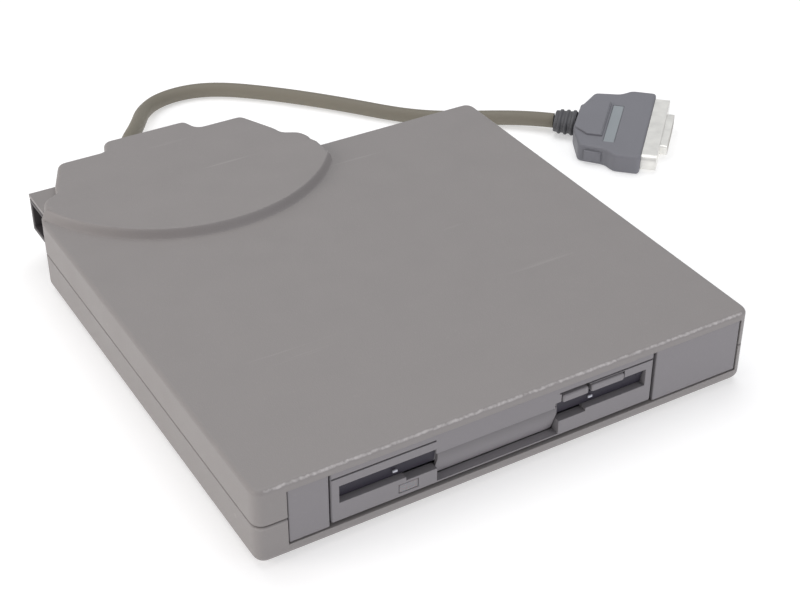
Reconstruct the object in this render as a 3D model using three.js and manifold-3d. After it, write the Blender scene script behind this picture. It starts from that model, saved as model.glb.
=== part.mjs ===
// External floppy disk drive: a slim 3.5 inch drive in a two-part moulded case, with a raised
// round hump and a stepped cable housing at its back, and a short cable that ends in a plug.
// Millimetres, +X to the right, +Y to the back, +Z up. The origin is at the middle of the
// object's box, without the cable, on the surface that the rubber feet stand on.
import * as THREE from "three";
import { mergeVertices } from "three/addons/utils/BufferGeometryUtils.js";
import Module from "manifold-3d";

// Clearances
const gap = 0.3; // between two pieces that touch in the real object
const overrun = 1; // how far a cutting solid runs past what it cuts
const runningGap = 0.1; // radial play of a pin in its hole

// Case: two shells that meet at a seam
const caseRearRoom = 17; // behind the drive, to the case's back
const caseWall = 2;
const caseCornerRadius = 3.6; // reach of the corner curve along each side
const caseTopRadius = 1.3;
const caseBottomRadius = 2.6;
const seamHeight = 12; // above the case's underside
const seamLip = 1; // thickness and height of the lip inside the seam

// Rubber feet
const footHeight = 1;
const footRadius = 4;
const footRecess = 0.6;
const footInset = 12; // from the case's edges to the foot's centre

// Round hump on the top and the cable housing behind the case
const housingReach = 31.7; // behind the case's back wall
const humpRise = 3; // above the case's top
const humpRadius = 49.5; // at the foot of its slope
const humpSlope = 1.9; // how much smaller the hump is on top
const humpBack = 19; // from the case's back wall to the hump's centre
const humpSideInset = 1.7; // from the case's left wall to the hump's cut side
const housingTopRadius = 1.8;

// Half of the housing's outline, as half-widths and distances behind the case's back wall
const housingNeckStart = -3;
const housingShoulderHalf = 44.8;
const housingNeckInset = 3.3; // from the shoulder's half, as the insets below
const housingNeckHalf = housingShoulderHalf - housingNeckInset;
const housingShoulderReach = 1;
const housingCornerInset = 1.6;
const housingCornerHalf = housingShoulderHalf - housingCornerInset;
const housingCornerReach = 6.2;
const housingWaistInset = 6.7;
const housingWaistHalf = housingShoulderHalf - housingWaistInset;
const housingWaistReach = 9;
const housingLobeInset = 7.4;
const housingLobeHalf = housingShoulderHalf - housingLobeInset;
const housingLobeReach = 12.4;
const housingStepInset = 13.4;
const housingStepHalf = housingShoulderHalf - housingStepInset;
const housingStepReach = 25.6;
const bossRootHalf = 15.9;
const bossHalf = 14;
const housingFillet = 2.2;

// Front opening of the case and the two blank panels
const openingDrop = 0.6; // below the drive
const openingLintel = 0.2; // between the opening and the underside of the case's top
const openingLeft = 8.5; // from the case's left side
const openingRight = 2.8; // from the case's right side
const panelRecess = 0.2;
const panelThickness = 1.8;
const panelGap = 0.3;
const panelPostWidth = 1;
const leftPanelWidth = 11;
const leftPanelPlay = 0.55; // to the drive's bezel
const rightPanelPlay = 0.75;
const rightPanelWidth = 28.4;

// Drive inside: 96 mm wide and 12.7 mm high, in its own frame. The frame's origin is at the
// middle of the drive's width, at the case's front plane and on the drive's underside.
const driveLift = 4.4; // its underside, above the case's underside

// Disk slot and the disk's middle
const slotHalf = 46.35;
const slotLedge = 6; // the slot's lower edge
const slotTop = 10.6;
const disksCentre = 51; // spindle axis, from the front plane

// Bezel
const bezelEnd = 2.35; // beyond the slot's end
const bezelHalf = slotHalf + bezelEnd;
const bezelFace = 0.4; // behind the case's front plane
const bezelThickness = 2.8;
const bezelBottom = 0.2;
const bezelTop = 16.1;
const barTop = 13.7;
const grooveWidth = 0.5;
const grooveDepth = 1.4;
const bridgeLeft = -18.85;
const bridgeRight = 17.15;
const bridgeBottom = 9.8;
const scoopLeft = -18.5;
const scoopRight = 18.5;
const scoopFloor = 0.9;
const ledgeStepDrop = 1;
const ledgeStepLeft = -27.5;
const ledgeStepRight = 27;
const slotChamfer = 0.7;
const padWidth = 8.1;
const padSpace = 0.9; // between the pad and the button
const padBottom = 10.9;
const padProud = 0.4;
const padFillet = 0.6;
const clipInset = 2.65; // from the slot's end
const clipOffset = slotHalf - clipInset;
const clipHalf = 2;

// Activity lens in the lower bar
const lensLeft = -29.5;
const lensRight = -24.1;
const lensBottom = 1.7;
const lensTop = 4.1;
const lensDepth = 1.2;

// Eject button
const buttonInset = 7.45; // from the slot's end
const buttonWidth = 10.6;
const buttonRight = slotHalf - buttonInset;
const buttonLeft = buttonRight - buttonWidth;
const padRight = buttonLeft - padSpace;
const padLeft = padRight - padWidth;
const buttonTop = 13.2;
const buttonBottom = 10.9;
const stemBottom = 11.25;
const stemTop = 12;
const stemInset = 1.2;
const stemEnd = 8;
const buttonDepth = 2.6;

// Dust flap behind the slot
const flapThickness = 0.8;
const flapAxisY = 2.65;
const flapAxisRise = 1.2; // above the slot's upper edge
const flapAxisZ = slotTop + flapAxisRise;
const flapPinRadius = 0.6;
const flapArmWidth = 2;
const flapTopY = 1.5;
const flapTopZ = slotTop - gap;
const flapBendY = 1.0;
const flapBendZ = 7.5;
const flapTipY = 3.2;
const flapTipZ = 1.2;
const flapSideTipY = 2.2;
const flapSideTipZ = 6.4;
const flapTongueLeft = -18.1;
const flapTongueRight = 18.1;
const earThickness = 1.5;
const earHeight = 2.4;
const springWire = 0.2;

// Chassis pan and top shield of the drive
const chassisMargin = 1.15; // beyond the slot's end
const chassisHalf = slotHalf + chassisMargin;
const sheet = 0.6;
const chassisStart = 4.5;
const chassisFloor = 0.3;
const shieldThickness = 0.5;
const shieldFlangeDrop = 3.4;
const driveWidth = (chassisHalf + shieldThickness) * 2;
const shieldWindowHalf = 30;
const shieldWindowStart = 22;
const shieldWindowEnd = 62;
const floorHoleRadius = 6;

// Disk carrier, with four pins in the slider's cam slots
const carrierPlay = 0.8; // inside the slider
const carrierSheet = 0.5;
const carrierStart = 14;
const carrierEnd = 97;
const rearBay = 28; // behind the carrier, for the head's motor and carriage
const driveDepth = carrierEnd + rearBay;
const carrierLip = 5;
const carrierLipZ = 5.4;
const carrierTopZ = 10.5;
const carrierWindowHalf = 8;
const carrierWindowStart = 68;
const carrierFingerHalf = 22;
const carrierFingerDepth = 14;
const carrierDrop = 2.3;
const pinRadius = 1;
const pinReach = 1.5;
const pinHeight = 6.9;
const pinFront = 30;
const pinRear = 80;
const pinPlaces = [pinFront, pinRear];
const slotPlay = 0.3;

// Eject slider over the carrier
const sliderTravel = 4.5;
const sliderPlay = 0.9; // inside the chassis
const sliderHalf = chassisHalf - sliderPlay;
const carrierHalf = sliderHalf - carrierPlay;
const sliderSheet = 0.5;
const sliderStart = 17;
const sliderEnd = 90;
const sliderLift = 0.8; // its top, above the carrier's
const sliderTopZ = carrierTopZ + sliderLift;
const driveHeadroom = 0.9; // over the slider
const driveHeight = sliderTopZ + driveHeadroom + shieldThickness;
const chassisTopGap = 0.2; // under the shield
const chassisTop = driveHeight - shieldThickness - chassisTopGap;
const sliderBottomZ = 2;
const sliderStripWidth = 8;
const sliderFrontDepth = 9;
const sliderRearStart = 58;
const sliderRearDepth = 6;
const sliderTabInset = 2.4; // from the button's right side
const sliderTabWidth = 6;
const sliderTabRight = buttonRight - sliderTabInset;
const sliderTabLeft = sliderTabRight - sliderTabWidth;

// Spindle motor
const motorBoardHalf = 25;
const motorBoardStart = 27;
const motorBoardEnd = 76;
const motorBoardZ = 1.2;
const motorBoardThickness = 0.6;
const statorInner = 8;
const statorOuter = 15.5;
const statorTeeth = 12;
const statorZ = 2.1;
const statorHeight = 0.9;
const statorToothShare = 0.6;
const rotorRadius = 19.5;
const rotorWall = 1.6;
const rotorZ = 3.3;
const rotorThickness = 0.4;
const rotorBore = 5.2;
const hubRadius = 12.2;
const hubThickness = 0.7;
const hubNeckRadius = 4.8;
const drivePinRadius = 1;
const drivePinReach = 8.6;
const drivePinRise = 0.5;
const spindleRadius = 1.5;
const spindleRise = 1.3;
const bearingRadius = 3.6;
const bearingHeight = 1.2;

// Stepper motor, lead screw, guide rod and head carriage
const stepperX = 15;
const stepperZ = 6.4;
const stepperRadius = 5.2;
const stepperBay = 9.5; // its front, before the drive's end
const stepperStart = driveDepth - stepperBay;
const stepperLength = 8.4;
const stepperFlangeHalf = 8;
const screwRadius = 1.2;
const screwBay = 27.2; // its front end, before the drive's end
const screwStart = driveDepth - screwBay;
const screwPitch = 3;
const screwGroove = 0.35;
const screwSteps = 6;
const guideX = -14;
const guideZ = 3.4;
const guideRadius = 1.2;
const guideStart = screwStart;
const headTrack = 39.5; // behind the spindle's axis
const headY = disksCentre + headTrack;
const blockBay = 4; // behind the carriage's block
const blockLength = 7.8;
const blockEnd = driveDepth - blockBay;
const blockStart = blockEnd - blockLength;
const blockLeft = -18;
const blockSide = 1; // to the stepper's flange
const blockRight = stepperX - stepperFlangeHalf - blockSide;
const blockBottom = 1.4;
const blockTop = 6.2;
const blockPocket = 1.2;
const nutLength = 2.2;
const nutStep = 0.4; // before the block
const nutStart = blockStart - nutStep;
const nutEnd = nutStart + nutLength;
const nutTop = 8.6;
const armHalf = 5;
const lowerArmTop = 3.1;
const headHalf = 2;
const lowerHeadTop = 5.3;
const upperHeadBottom = 10.6;
const upperArmZ = 11.3;
const upperArmThickness = 0.6;
const upperArmHalf = 4.2;
const armAxisInset = 4; // before the block's back
const armAxisY = blockEnd - armAxisInset;
const armAxisZ = 10.2;
const armPinRadius = 0.7;
const armBarrelRadius = 1.5;
const armBracketHalf = 5.7;
const armBracketThickness = 1.2;

// Shutter lever on the carrier
const leverInset = 12.8; // from the carrier's side
const leverX = -carrierHalf + leverInset;
const leverY = 94;
const leverThickness = 0.5;
const leverWidth = 3;
const leverLength = 22;
const leverAngle = -54; // degrees, from +X
const leverSwing = 50;
const leverPinRadius = 0.9;
const leverPinDrop = 3;
const leverPivotRadius = 1;

// Drive electronics
const boardThickness = 1;
const driveBoardInset = 2.5; // from the chassis's side
const driveBoardSpace = 1; // to the motor's board
const driveBoardLeft = -chassisHalf + driveBoardInset;
const driveBoardRight = -motorBoardHalf - driveBoardSpace;
const driveBoardLength = 62;
const driveBoardBay = 3; // behind the board
const driveBoardEnd = driveDepth - driveBoardBay;
const driveBoardStart = driveBoardEnd - driveBoardLength;
const driveBoardZ = 1.2;
const chipHeight = 1.2;
const driveChipShares = [[0.25, 0.25, 0.55, 0.2], [0.25, 0.6, 0.5, 0.16], [0.15, 0.86, 0.3, 0.08]];
const interfaceChipShares = [[0.3, 0.5, 0.45, 0.2], [0.2, 0.78, 0.3, 0.16], [0.62, 0.8, 0.2, 0.12]];
const sensorInset = 6; // from the board's front end
const sensorY = driveBoardStart + sensorInset;
const sensorPitch = 4;
const sensorX = -35;
const sensorLast = -27.9;
const sensorPlaces = [[sensorX, sensorY], [sensorX + sensorPitch, sensorY], [sensorLast, sensorY]];
const sensorSize = 2.4;
const sensorHeight = 2.4;
const sensorPlungerRadius = 0.5;
const connectorInset = 1.5;
const connectorWidth = 16;
const connectorHeight = 4;
const connectorDepth = 3.4;

// Interface board in the cable housing
const interfaceMargin = 6.4; // from the housing's step
const interfaceHalf = housingStepHalf - interfaceMargin;
const interfaceStart = -8; // from the case's back wall
const interfaceBack = 3.6; // to the housing's step
const interfaceEnd = housingStepReach - interfaceBack;
const interfaceZ = 5;

// Side pocket behind the left corner
const pocketLeft = 3;
const pocketDepth = 7;
const pocketStart = 0.4; // from the case's back wall
const pocketEnd = 19.4;
const pocketBottom = 9;
const pocketTop = 21.5;
const pocketWall = 1.5;

// Cable, its gland and the plug on its far end
const cableRadius = 2.65;
const cableSides = 16;
const cableExitHeight = 10.5; // above the case's underside
const glandLength = 17;
const glandRootRadius = 5.2;
const glandTipRadius = 3.9;
const glandFlangeRadius = 6.4;
const glandFlangeThickness = 1.4;
const glandGroove = 0.8;
const glandRibs = 4;
const plugX = 138.6; // middle of the plug's front edge
const plugY = 37.4;
const plugAngle = -44.5; // degrees, from +X to the way that the plug points
const plugHalf = 24.8;
const plugBackHalf = 20;
const plugLength = 21.8;
const plugThickness = 6.6;
const plugTaperLength = 3.6;
const plugTaperHalf = 8;
const plugFillet = 1.6;
const plugGripStart = 9; // behind the front edge
const plugGripEnd = 12.6;
const plugGripDepth = 3.6;
const plugBossHalf = 13;
const plugBossLength = 11;
const plugBossRise = 0.8;
const plugPadStart = 13.4;
const plugPadEnd = 19.6;
const plugPadRise = 0.8;
const plateStart = 10; // a shallow recess across the plug's top
const plateEnd = 14;
const plateNear = -16;
const plateFar = 11.8;
const plateDepth = 0.3;
const reliefHalf = 6.6; // across; the strain relief is flatter than it is wide
const reliefRise = 3.9;
const reliefLength = 7.2;
const reliefRings = 3;
const shellHalf = 22.6;
const shellDepth = 5.3;
const shellHeight = 5.6;
const shellWall = 0.6;
const shellCorner = 2.2;
const tongueHalf = 12.6;
const tongueDepth = 7.9;
const tongueHeight = 4.2;
const tongueTaper = 1.2;
const contactCount = 13;
const contactWidth = 0.9;
const contactRise = 0.25;

// Route of the cable's middle line, from the gland's tip to the plug's strain relief
const cableRoute = [
  [-28.5, 104.15, 11.5],
  [-28.0, 108.5, 11.4],
  [-26.2, 112.5, 11.0],
  [-23.2, 116.6, 10.3],
  [-18.0, 122.5, 8.9],
  [-14.3, 129.0, 7.4],
  [-10.8, 136.0, 5.6],
  [-7.0, 141.5, 4.0],
  [-2.2, 146.8, 3.0],
  [4.0, 149.4, 2.7],
  [11.0, 149.9, 2.7],
  [18.0, 148.4, 2.7],
  [24.4, 145.1, 2.7],
  [30.2, 140.6, 2.7],
  [35.6, 135.6, 2.7],
  [41.0, 130.3, 2.7],
  [46.5, 124.4, 2.7],
  [51.8, 118.4, 2.7],
  [56.8, 112.4, 2.7],
  [61.7, 106.3, 2.7],
  [66.2, 100.3, 2.7],
  [70.9, 94.6, 2.7],
  [76.1, 89.4, 2.7],
  [81.9, 85.0, 2.7],
  [88.2, 81.2, 2.7],
  [94.6, 77.6, 2.8],
  [100.6, 73.5, 3.1],
  [106.4, 68.8, 3.6],
  [111.85, 63.68, 3.9],
  [114.74, 60.85, 3.9],
];

// Screws
const caseScrewHead = 2.6;
const caseScrewHeadThickness = 1.4;
const caseScrewRadius = 1.2;
const caseScrewLength = 12;
const bossRadius = 3.1;
const driveScrewHead = 2.1;
const driveScrewRadius = 1;
const driveScrewLength = 2;
const standRadius = 3.2;

// Places that several pieces share
const caseWidth = openingLeft + leftPanelWidth + leftPanelPlay + bezelHalf * 2 + rightPanelPlay
  + rightPanelWidth + openingRight + panelGap * 2;
const caseDepth = driveDepth + caseRearRoom;
const openingBottom = driveLift - openingDrop;
const openingTop = driveLift + bezelTop + gap;
const caseHeight = openingTop + openingLintel + caseWall;
const front = -(caseDepth + housingReach) / 2;
const back = front + caseDepth;
const left = -caseWidth / 2;
const base = footHeight;
const seam = base + seamHeight;
const top = base + caseHeight;
const humpTop = top + humpRise;
const driveBase = base + driveLift;
const leftPanelX = left + openingLeft + panelGap;
const driveOffset = leftPanelX + leftPanelWidth + leftPanelPlay + bezelHalf;
const housingOffset = left + humpSideInset + housingShoulderHalf;

const wasm = await Module();
wasm.setup();

// A closed three.js geometry as a solid that can be cut and joined
function solid(geometry) {
  const bare = geometry.index ? geometry.toNonIndexed() : geometry.clone();
  bare.deleteAttribute("normal");
  bare.deleteAttribute("uv");
  const merged = mergeVertices(bare, 1e-4);
  const made = new wasm.Manifold(new wasm.Mesh({
    numProp: 3,
    vertProperties: merged.attributes.position.array,
    triVerts: new Uint32Array(merged.index.array),
  }));
  return made.volume() < 0 ? solid(turned(merged)) : made;
}

// The same geometry with each face turned round
function turned(geometry) {
  const corners = geometry.index.array;
  for (let i = 0; i < corners.length; i += 3) {
    const kept = corners[i];
    corners[i] = corners[i + 1];
    corners[i + 1] = kept;
  }
  return geometry;
}

function geometryOf(made) {
  const mesh = made.getMesh();
  const geometry = new THREE.BufferGeometry();
  geometry.setAttribute("position", new THREE.BufferAttribute(mesh.vertProperties, mesh.numProp));
  geometry.setIndex(new THREE.BufferAttribute(mesh.triVerts, 1));
  geometry.computeVertexNormals();
  return geometry;
}

const cut = (body, ...tools) => tools.flat().reduce((kept, tool) => kept.subtract(tool), body);
const join = (...pieces) => pieces.flat().reduce((whole, piece) => whole.add(piece));

// A block between two corners
function block(x0, x1, y0, y1, z0, z1) {
  const geometry = new THREE.BoxGeometry(x1 - x0, y1 - y0, z1 - z0);
  return solid(geometry.translate((x0 + x1) / 2, (y0 + y1) / 2, (z0 + z1) / 2));
}

// A round bar from z0 to z1, or lying along Y or X
function barZ(x, y, radius, z0, z1, sides = 12) {
  const geometry = new THREE.CylinderGeometry(radius, radius, z1 - z0, sides).rotateX(Math.PI / 2);
  return solid(geometry.translate(x, y, (z0 + z1) / 2));
}
function barY(x, z, radius, y0, y1, sides = 12) {
  const geometry = new THREE.CylinderGeometry(radius, radius, y1 - y0, sides);
  return solid(geometry.translate(x, (y0 + y1) / 2, z));
}
function barX(y, z, radius, x0, x1, sides = 12) {
  const geometry = new THREE.CylinderGeometry(radius, radius, x1 - x0, sides).rotateZ(Math.PI / 2);
  return solid(geometry.translate((x0 + x1) / 2, y, z));
}

// An outline in X and Y, drawn out from z0 to z1
function prismZ(shape, z0, z1, curveSegments = 3) {
  const geometry = new THREE.ExtrudeGeometry(shape, { depth: z1 - z0, bevelEnabled: false, curveSegments });
  return solid(geometry.translate(0, 0, z0));
}

// The same with its lower and upper edges rounded
function roundedPrismZ(shape, z0, z1, radius, curveSegments = 3) {
  const geometry = new THREE.ExtrudeGeometry(shape, {
    depth: z1 - z0 - 2 * radius,
    bevelThickness: radius,
    bevelSize: radius,
    bevelOffset: -radius,
    bevelSegments: 2,
    curveSegments,
  });
  return solid(geometry.translate(0, 0, z0 + radius));
}

// An outline in Y and Z, drawn out along X, and one in X and Z, drawn out along Y
function prismX(shape, x0, x1) {
  const geometry = new THREE.ExtrudeGeometry(shape, { depth: x1 - x0, bevelEnabled: false });
  geometry.applyMatrix4(new THREE.Matrix4().makeBasis(
    new THREE.Vector3(0, 1, 0), new THREE.Vector3(0, 0, 1), new THREE.Vector3(1, 0, 0)));
  return solid(geometry.translate(x0, 0, 0));
}
function prismY(shape, y0, y1, curveSegments = 6) {
  const geometry = new THREE.ExtrudeGeometry(shape, { depth: y1 - y0, bevelEnabled: false, curveSegments });
  geometry.applyMatrix4(new THREE.Matrix4().makeBasis(
    new THREE.Vector3(1, 0, 0), new THREE.Vector3(0, 0, 1), new THREE.Vector3(0, -1, 0)));
  return solid(geometry.translate(0, y1, 0));
}

function outline(points) {
  return new THREE.Shape(points.map(([u, v]) => new THREE.Vector2(u, v)));
}

// A round outline drawn with straight sides
function polygon(radius, sides) {
  return new THREE.Shape(Array.from({ length: sides }, (_, i) => {
    const angle = (i / sides) * Math.PI * 2;
    return new THREE.Vector2(radius * Math.cos(angle), radius * Math.sin(angle));
  }));
}

// A closed outline whose corners are rounded to one radius, where its sides leave room for it
function roundedOutline(points, radius) {
  const shape = new THREE.Shape();
  const corners = points.map(([u, v]) => new THREE.Vector2(u, v));
  corners.forEach((corner, i) => {
    const before = corners[(i + corners.length - 1) % corners.length];
    const after = corners[(i + 1) % corners.length];
    const reach = Math.min(radius, corner.distanceTo(before) / 2.2, corner.distanceTo(after) / 2.2);
    const entry = before.clone().sub(corner).setLength(reach).add(corner);
    const exit = after.clone().sub(corner).setLength(reach).add(corner);
    if (i === 0) shape.moveTo(entry.x, entry.y);
    else shape.lineTo(entry.x, entry.y);
    shape.quadraticCurveTo(corner.x, corner.y, exit.x, exit.y);
  });
  shape.closePath();
  return shape;
}

function roundedRectangle(x0, x1, y0, y1, radius) {
  return roundedOutline([[x0, y0], [x1, y0], [x1, y1], [x0, y1]], radius);
}

// A solid of revolution about Z at a place, from a closed profile of radius and height
function turnedSolid(profile, x, y, segments = 48) {
  const points = [...profile, profile[0]].map(([r, z]) => new THREE.Vector2(r, z));
  const geometry = new THREE.LatheGeometry(points, segments).rotateX(Math.PI / 2);
  return solid(geometry.translate(x, y, 0));
}

// Materials
const colours = {
  case_top: [0x8f8c8a, 0.75, 0],
  case_front: [0x888587, 0.75, 0],
  dark_plastic: [0x3a373d, 0.7, 0],
  black_plastic: [0x1c1c1e, 0.6, 0],
  rubber: [0x2a2a2c, 0.95, 0],
  cable: [0x7f7b70, 0.8, 0],
  plug: [0x7d7f87, 0.7, 0],
  steel: [0xb4b6b8, 0.4, 0.9],
  bright_metal: [0xd8d6cf, 0.35, 0.9],
  brass: [0xb08d4a, 0.4, 0.9],
  board: [0x2f5b3a, 0.6, 0],
  chip: [0x202124, 0.6, 0],
  white_plastic: [0xd9d7cf, 0.6, 0],
  magnet: [0x3d3d42, 0.6, 0.2],
  copper: [0xa8653a, 0.4, 0.8],
  lens: [0x9a9a94, 0.3, 0],
  contact: [0xc9a44c, 0.35, 0.9],
};

const group = new THREE.Group();
const drive = new THREE.Group();
drive.position.set(driveOffset, front, driveBase);
group.add(drive);

function part(name, made, colour, parent = group) {
  const [hex, roughness, metalness] = colours[colour];
  const material = new THREE.MeshStandardMaterial({ color: hex, roughness, metalness });
  const geometry = made.isBufferGeometry ? made : geometryOf(made);
  const mesh = new THREE.Mesh(geometry, material);
  mesh.name = name;
  parent.add(mesh);
  return mesh;
}

// Case shells

// The case's footprint, drawn in by an inset
function caseFootprint(inset) {
  const radius = Math.max(caseCornerRadius - inset, inset ? sheet : caseCornerRadius);
  return roundedRectangle(left + inset, -left - inset, front + inset, back - inset, radius);
}

// The cable housing's footprint: a neck, a rounded shoulder, a stepped lobe and the cable boss
function housingFootprint(inset, neckStart = housingNeckStart) {
  const half = [
    [housingNeckHalf - inset, neckStart],
    [housingShoulderHalf - inset, housingShoulderReach],
    [housingCornerHalf - inset, housingCornerReach - inset / 2],
    [housingWaistHalf - inset, housingWaistReach - inset],
    [housingLobeHalf - inset, housingLobeReach - inset / 2],
    [housingStepHalf - inset, housingStepReach - inset],
    [bossRootHalf - inset, housingStepReach - inset],
    [bossHalf - inset, housingReach - inset],
  ];
  const mirrored = half.map(([across, reach]) => [-across, reach]).reverse();
  const points = [...half, ...mirrored].map(([across, reach]) => [housingOffset + across, back + reach]);
  return roundedOutline(points, housingFillet);
}

// The round hump: a disc with a cove at its foot and a rounded upper edge
function humpDisc(shrink, lowest, highest) {
  const radius = humpRadius - shrink;
  const rise = highest - (top - shrink);
  const profile = [
    [0, lowest],
    [radius, lowest],
    [radius, highest - rise],
    [radius - humpSlope * 0.35, highest - rise * 0.82],
    [radius - humpSlope * 0.62, highest - rise * 0.55],
    [radius - humpSlope * 0.8, highest - rise * 0.22],
    [radius - humpSlope, highest - rise * 0.06],
    [radius - humpSlope - humpRise * 0.3, highest],
    [0, highest],
  ];
  return turnedSolid(profile, housingOffset, back + humpBack, shrink ? 30 : 60);
}

const humpSide = left + humpSideInset;
function humpPart(shrink, lowest, highest) {
  const room = block(humpSide + shrink, housingOffset + housingShoulderHalf - gap - shrink, front,
    back + housingShoulderReach, lowest - overrun, highest + overrun);
  return humpDisc(shrink, lowest, highest).intersect(room);
}

// The doorway between the case and the housing behind it
function housingDoorway() {
  const half = housingNeckHalf - caseWall * 2;
  return block(housingOffset - half, housingOffset + half, back - caseWall * 2, back + caseWall,
    base + caseWall, top - caseWall);
}

// Places of the case's screw bosses, as shares of its width and depth
const bossShares = [[0.05, 0.24], [0.95, 0.24], [0.95, 0.76], [0.05, 0.76]];
const bosses = bossShares.map(([u, v]) => [left + caseWidth * u, front + caseDepth * v]);
const housingBoss = [housingOffset - housingStepHalf * 0.93, back + housingStepReach * 0.62];
bosses.push(housingBoss);

// Window in the case's front, cut by both shells
const window = block(left + openingLeft, -left - openingRight, front - overrun,
  front + caseWall + overrun, base + openingBottom, base + openingTop);

// Hole in the housing's back wall for the cable gland
const glandX = housingOffset;
const glandZ = base + cableExitHeight;
const housingEnd = back + housingReach;
const glandHole = barY(glandX, glandZ, glandRootRadius + gap, housingEnd - caseWall * 2,
  housingEnd + overrun);

// Side pocket: its frame fits a notch in the housing's left side
const pocketX0 = left + pocketLeft;
const pocketX1 = pocketX0 + pocketDepth;
const pocketY0 = back + pocketStart;
const pocketY1 = back + pocketEnd;
const pocketZ0 = base + pocketBottom;
const pocketZ1 = base + pocketTop - pocketWall;
const pocketNotch = block(pocketX0 - overrun, pocketX1 + gap, pocketY0 - gap, pocketY1 + gap,
  pocketZ0 - gap, pocketZ1 + gap);

function upperCase() {
  const shell = roundedPrismZ(caseFootprint(0), base, top, caseTopRadius);
  const housing = roundedPrismZ(housingFootprint(0), base, humpTop, housingTopRadius);
  const outer = join(shell, humpPart(0, top - caseWall, humpTop), housing);
  const room = prismZ(caseFootprint(caseWall), base, top - caseWall);
  const housingRoom = join(prismZ(housingFootprint(caseWall, 0), base, humpTop - caseWall),
    housingDoorway());
  const humpRoom = humpPart(caseWall, top - caseWall * 2, humpTop - caseWall);
  const below = block(left - overrun, -left + overrun, front - overrun, housingEnd + overrun,
    base - overrun, seam + gap / 2);
  const lipRoom = prismZ(caseFootprint(caseWall - seamLip - gap), seam, seam + seamLip + gap)
    .subtract(prismZ(caseFootprint(caseWall), seam - overrun, seam + seamLip + overrun));
  const posts = bosses.map(([x, y]) => barZ(x, y, bossRadius, seam - overrun, humpTop)
    .subtract(barZ(x, y, caseScrewRadius + gap, seam - overrun * 2,
      seam + caseHeight / 4)).intersect(outer));
  const roof = block(pocketX0, pocketX1 + caseWall * 2, back - caseWall / 2, pocketY1,
    pocketZ1 + gap, pocketZ1 + pocketWall);
  let made = cut(outer, room, housingRoom, humpRoom, lipRoom, window);
  made = cut(join(made, posts, roof), below, glandHole, pocketNotch);
  return made;
}

function lowerCase() {
  const shell = roundedPrismZ(caseFootprint(0), base, top, caseBottomRadius);
  const housing = roundedPrismZ(housingFootprint(0), base, humpTop, housingTopRadius);
  const room = prismZ(caseFootprint(caseWall), base + caseWall, top);
  const housingRoom = join(prismZ(housingFootprint(caseWall, 0), base + caseWall, humpTop),
    housingDoorway());
  const above = block(left - overrun, -left + overrun, front - overrun, housingEnd + overrun,
    seam - gap / 2, humpTop + overrun);
  const lip = prismZ(caseFootprint(caseWall - seamLip), seam - seamLip, seam + seamLip)
    .subtract(prismZ(caseFootprint(caseWall), seam - overrun * 2, seam + overrun * 2));
  const lipSides = block(left, -left, front + caseCornerRadius * 3, back - caseDepth / 4,
    seam - seamLip * 2, seam + seamLip);
  const tubes = bosses.map(([x, y]) => barZ(x, y, bossRadius, base + caseWall / 2, seam - overrun - gap));
  const shafts = bosses.map(([x, y]) => join(
    barZ(x, y, caseScrewRadius + gap, base - overrun, seam),
    barZ(x, y, caseScrewHead + gap, base - overrun, base + caseScrewHeadThickness + gap)));
  const stands = standPlaces.map(([x, y]) => barZ(x, y, standRadius, base + caseWall / 2,
    driveBase + chassisFloor - gap)
    .subtract(barZ(x, y, driveScrewRadius + gap, base - overrun, driveBase + overrun)));
  const shelf = [-1, 1].map((side) => interfaceStand(side));
  const pits = footPlaces.map(([x, y]) => barZ(x, y, footRadius + gap, base - overrun, base + footRecess,
    20));
  const screwPits = standPlaces.map(([x, y]) => barZ(x, y, driveScrewHead + gap, base - overrun,
    base + caseWall / 2));
  const openings = standPlaces.map(([x, y]) => barZ(x, y, driveScrewRadius + gap, base - overrun,
    driveBase));
  let made = cut(join(shell, housing), room, housingRoom, above, window);
  made = join(made, lip.intersect(lipSides), tubes, stands, shelf);
  return cut(made, shafts, pits, screwPits, openings, glandHole, pocketNotch);
}

// Places of the feet and of the stands that carry the drive
const footPlaces = [
  [left + footInset, front + footInset],
  [-left - footInset, front + footInset],
  [-left - footInset, back - footInset],
  [left + footInset, back - footInset],
];
const standAcross = chassisHalf * 0.86;
const standPlaces = [
  [driveOffset - standAcross, front + driveDepth * 0.2],
  [driveOffset + standAcross, front + driveDepth * 0.2],
  [driveOffset + standAcross, front + driveDepth * 0.88],
  [driveOffset - standAcross, front + driveDepth * 0.88],
];

// A rib that carries one side of the interface board
function interfaceStand(side) {
  const x = housingOffset + side * interfaceHalf * 0.8;
  const y = back + (interfaceStart + interfaceEnd) / 2;
  const halfLength = (interfaceEnd - interfaceStart) / 4;
  return block(x - caseWall / 2, x + caseWall / 2, y - halfLength, y + halfLength,
    base + caseWall / 2, base + interfaceZ - gap);
}

part("upper_case", upperCase(), "case_top");
part("lower_case", lowerCase(), "case_top");
footPlaces.forEach(([x, y], i) => {
  const profile = [
    [0, 0],
    [footRadius * 0.8, 0],
    [footRadius * 0.95, footHeight * 0.3],
    [footRadius, footHeight * 0.7],
    [footRadius, footHeight + footRecess - gap],
    [0, footHeight + footRecess - gap],
  ];
  part(`rubber_foot_${i + 1}`, turnedSolid(profile, x, y, 16), "rubber");
});

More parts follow.
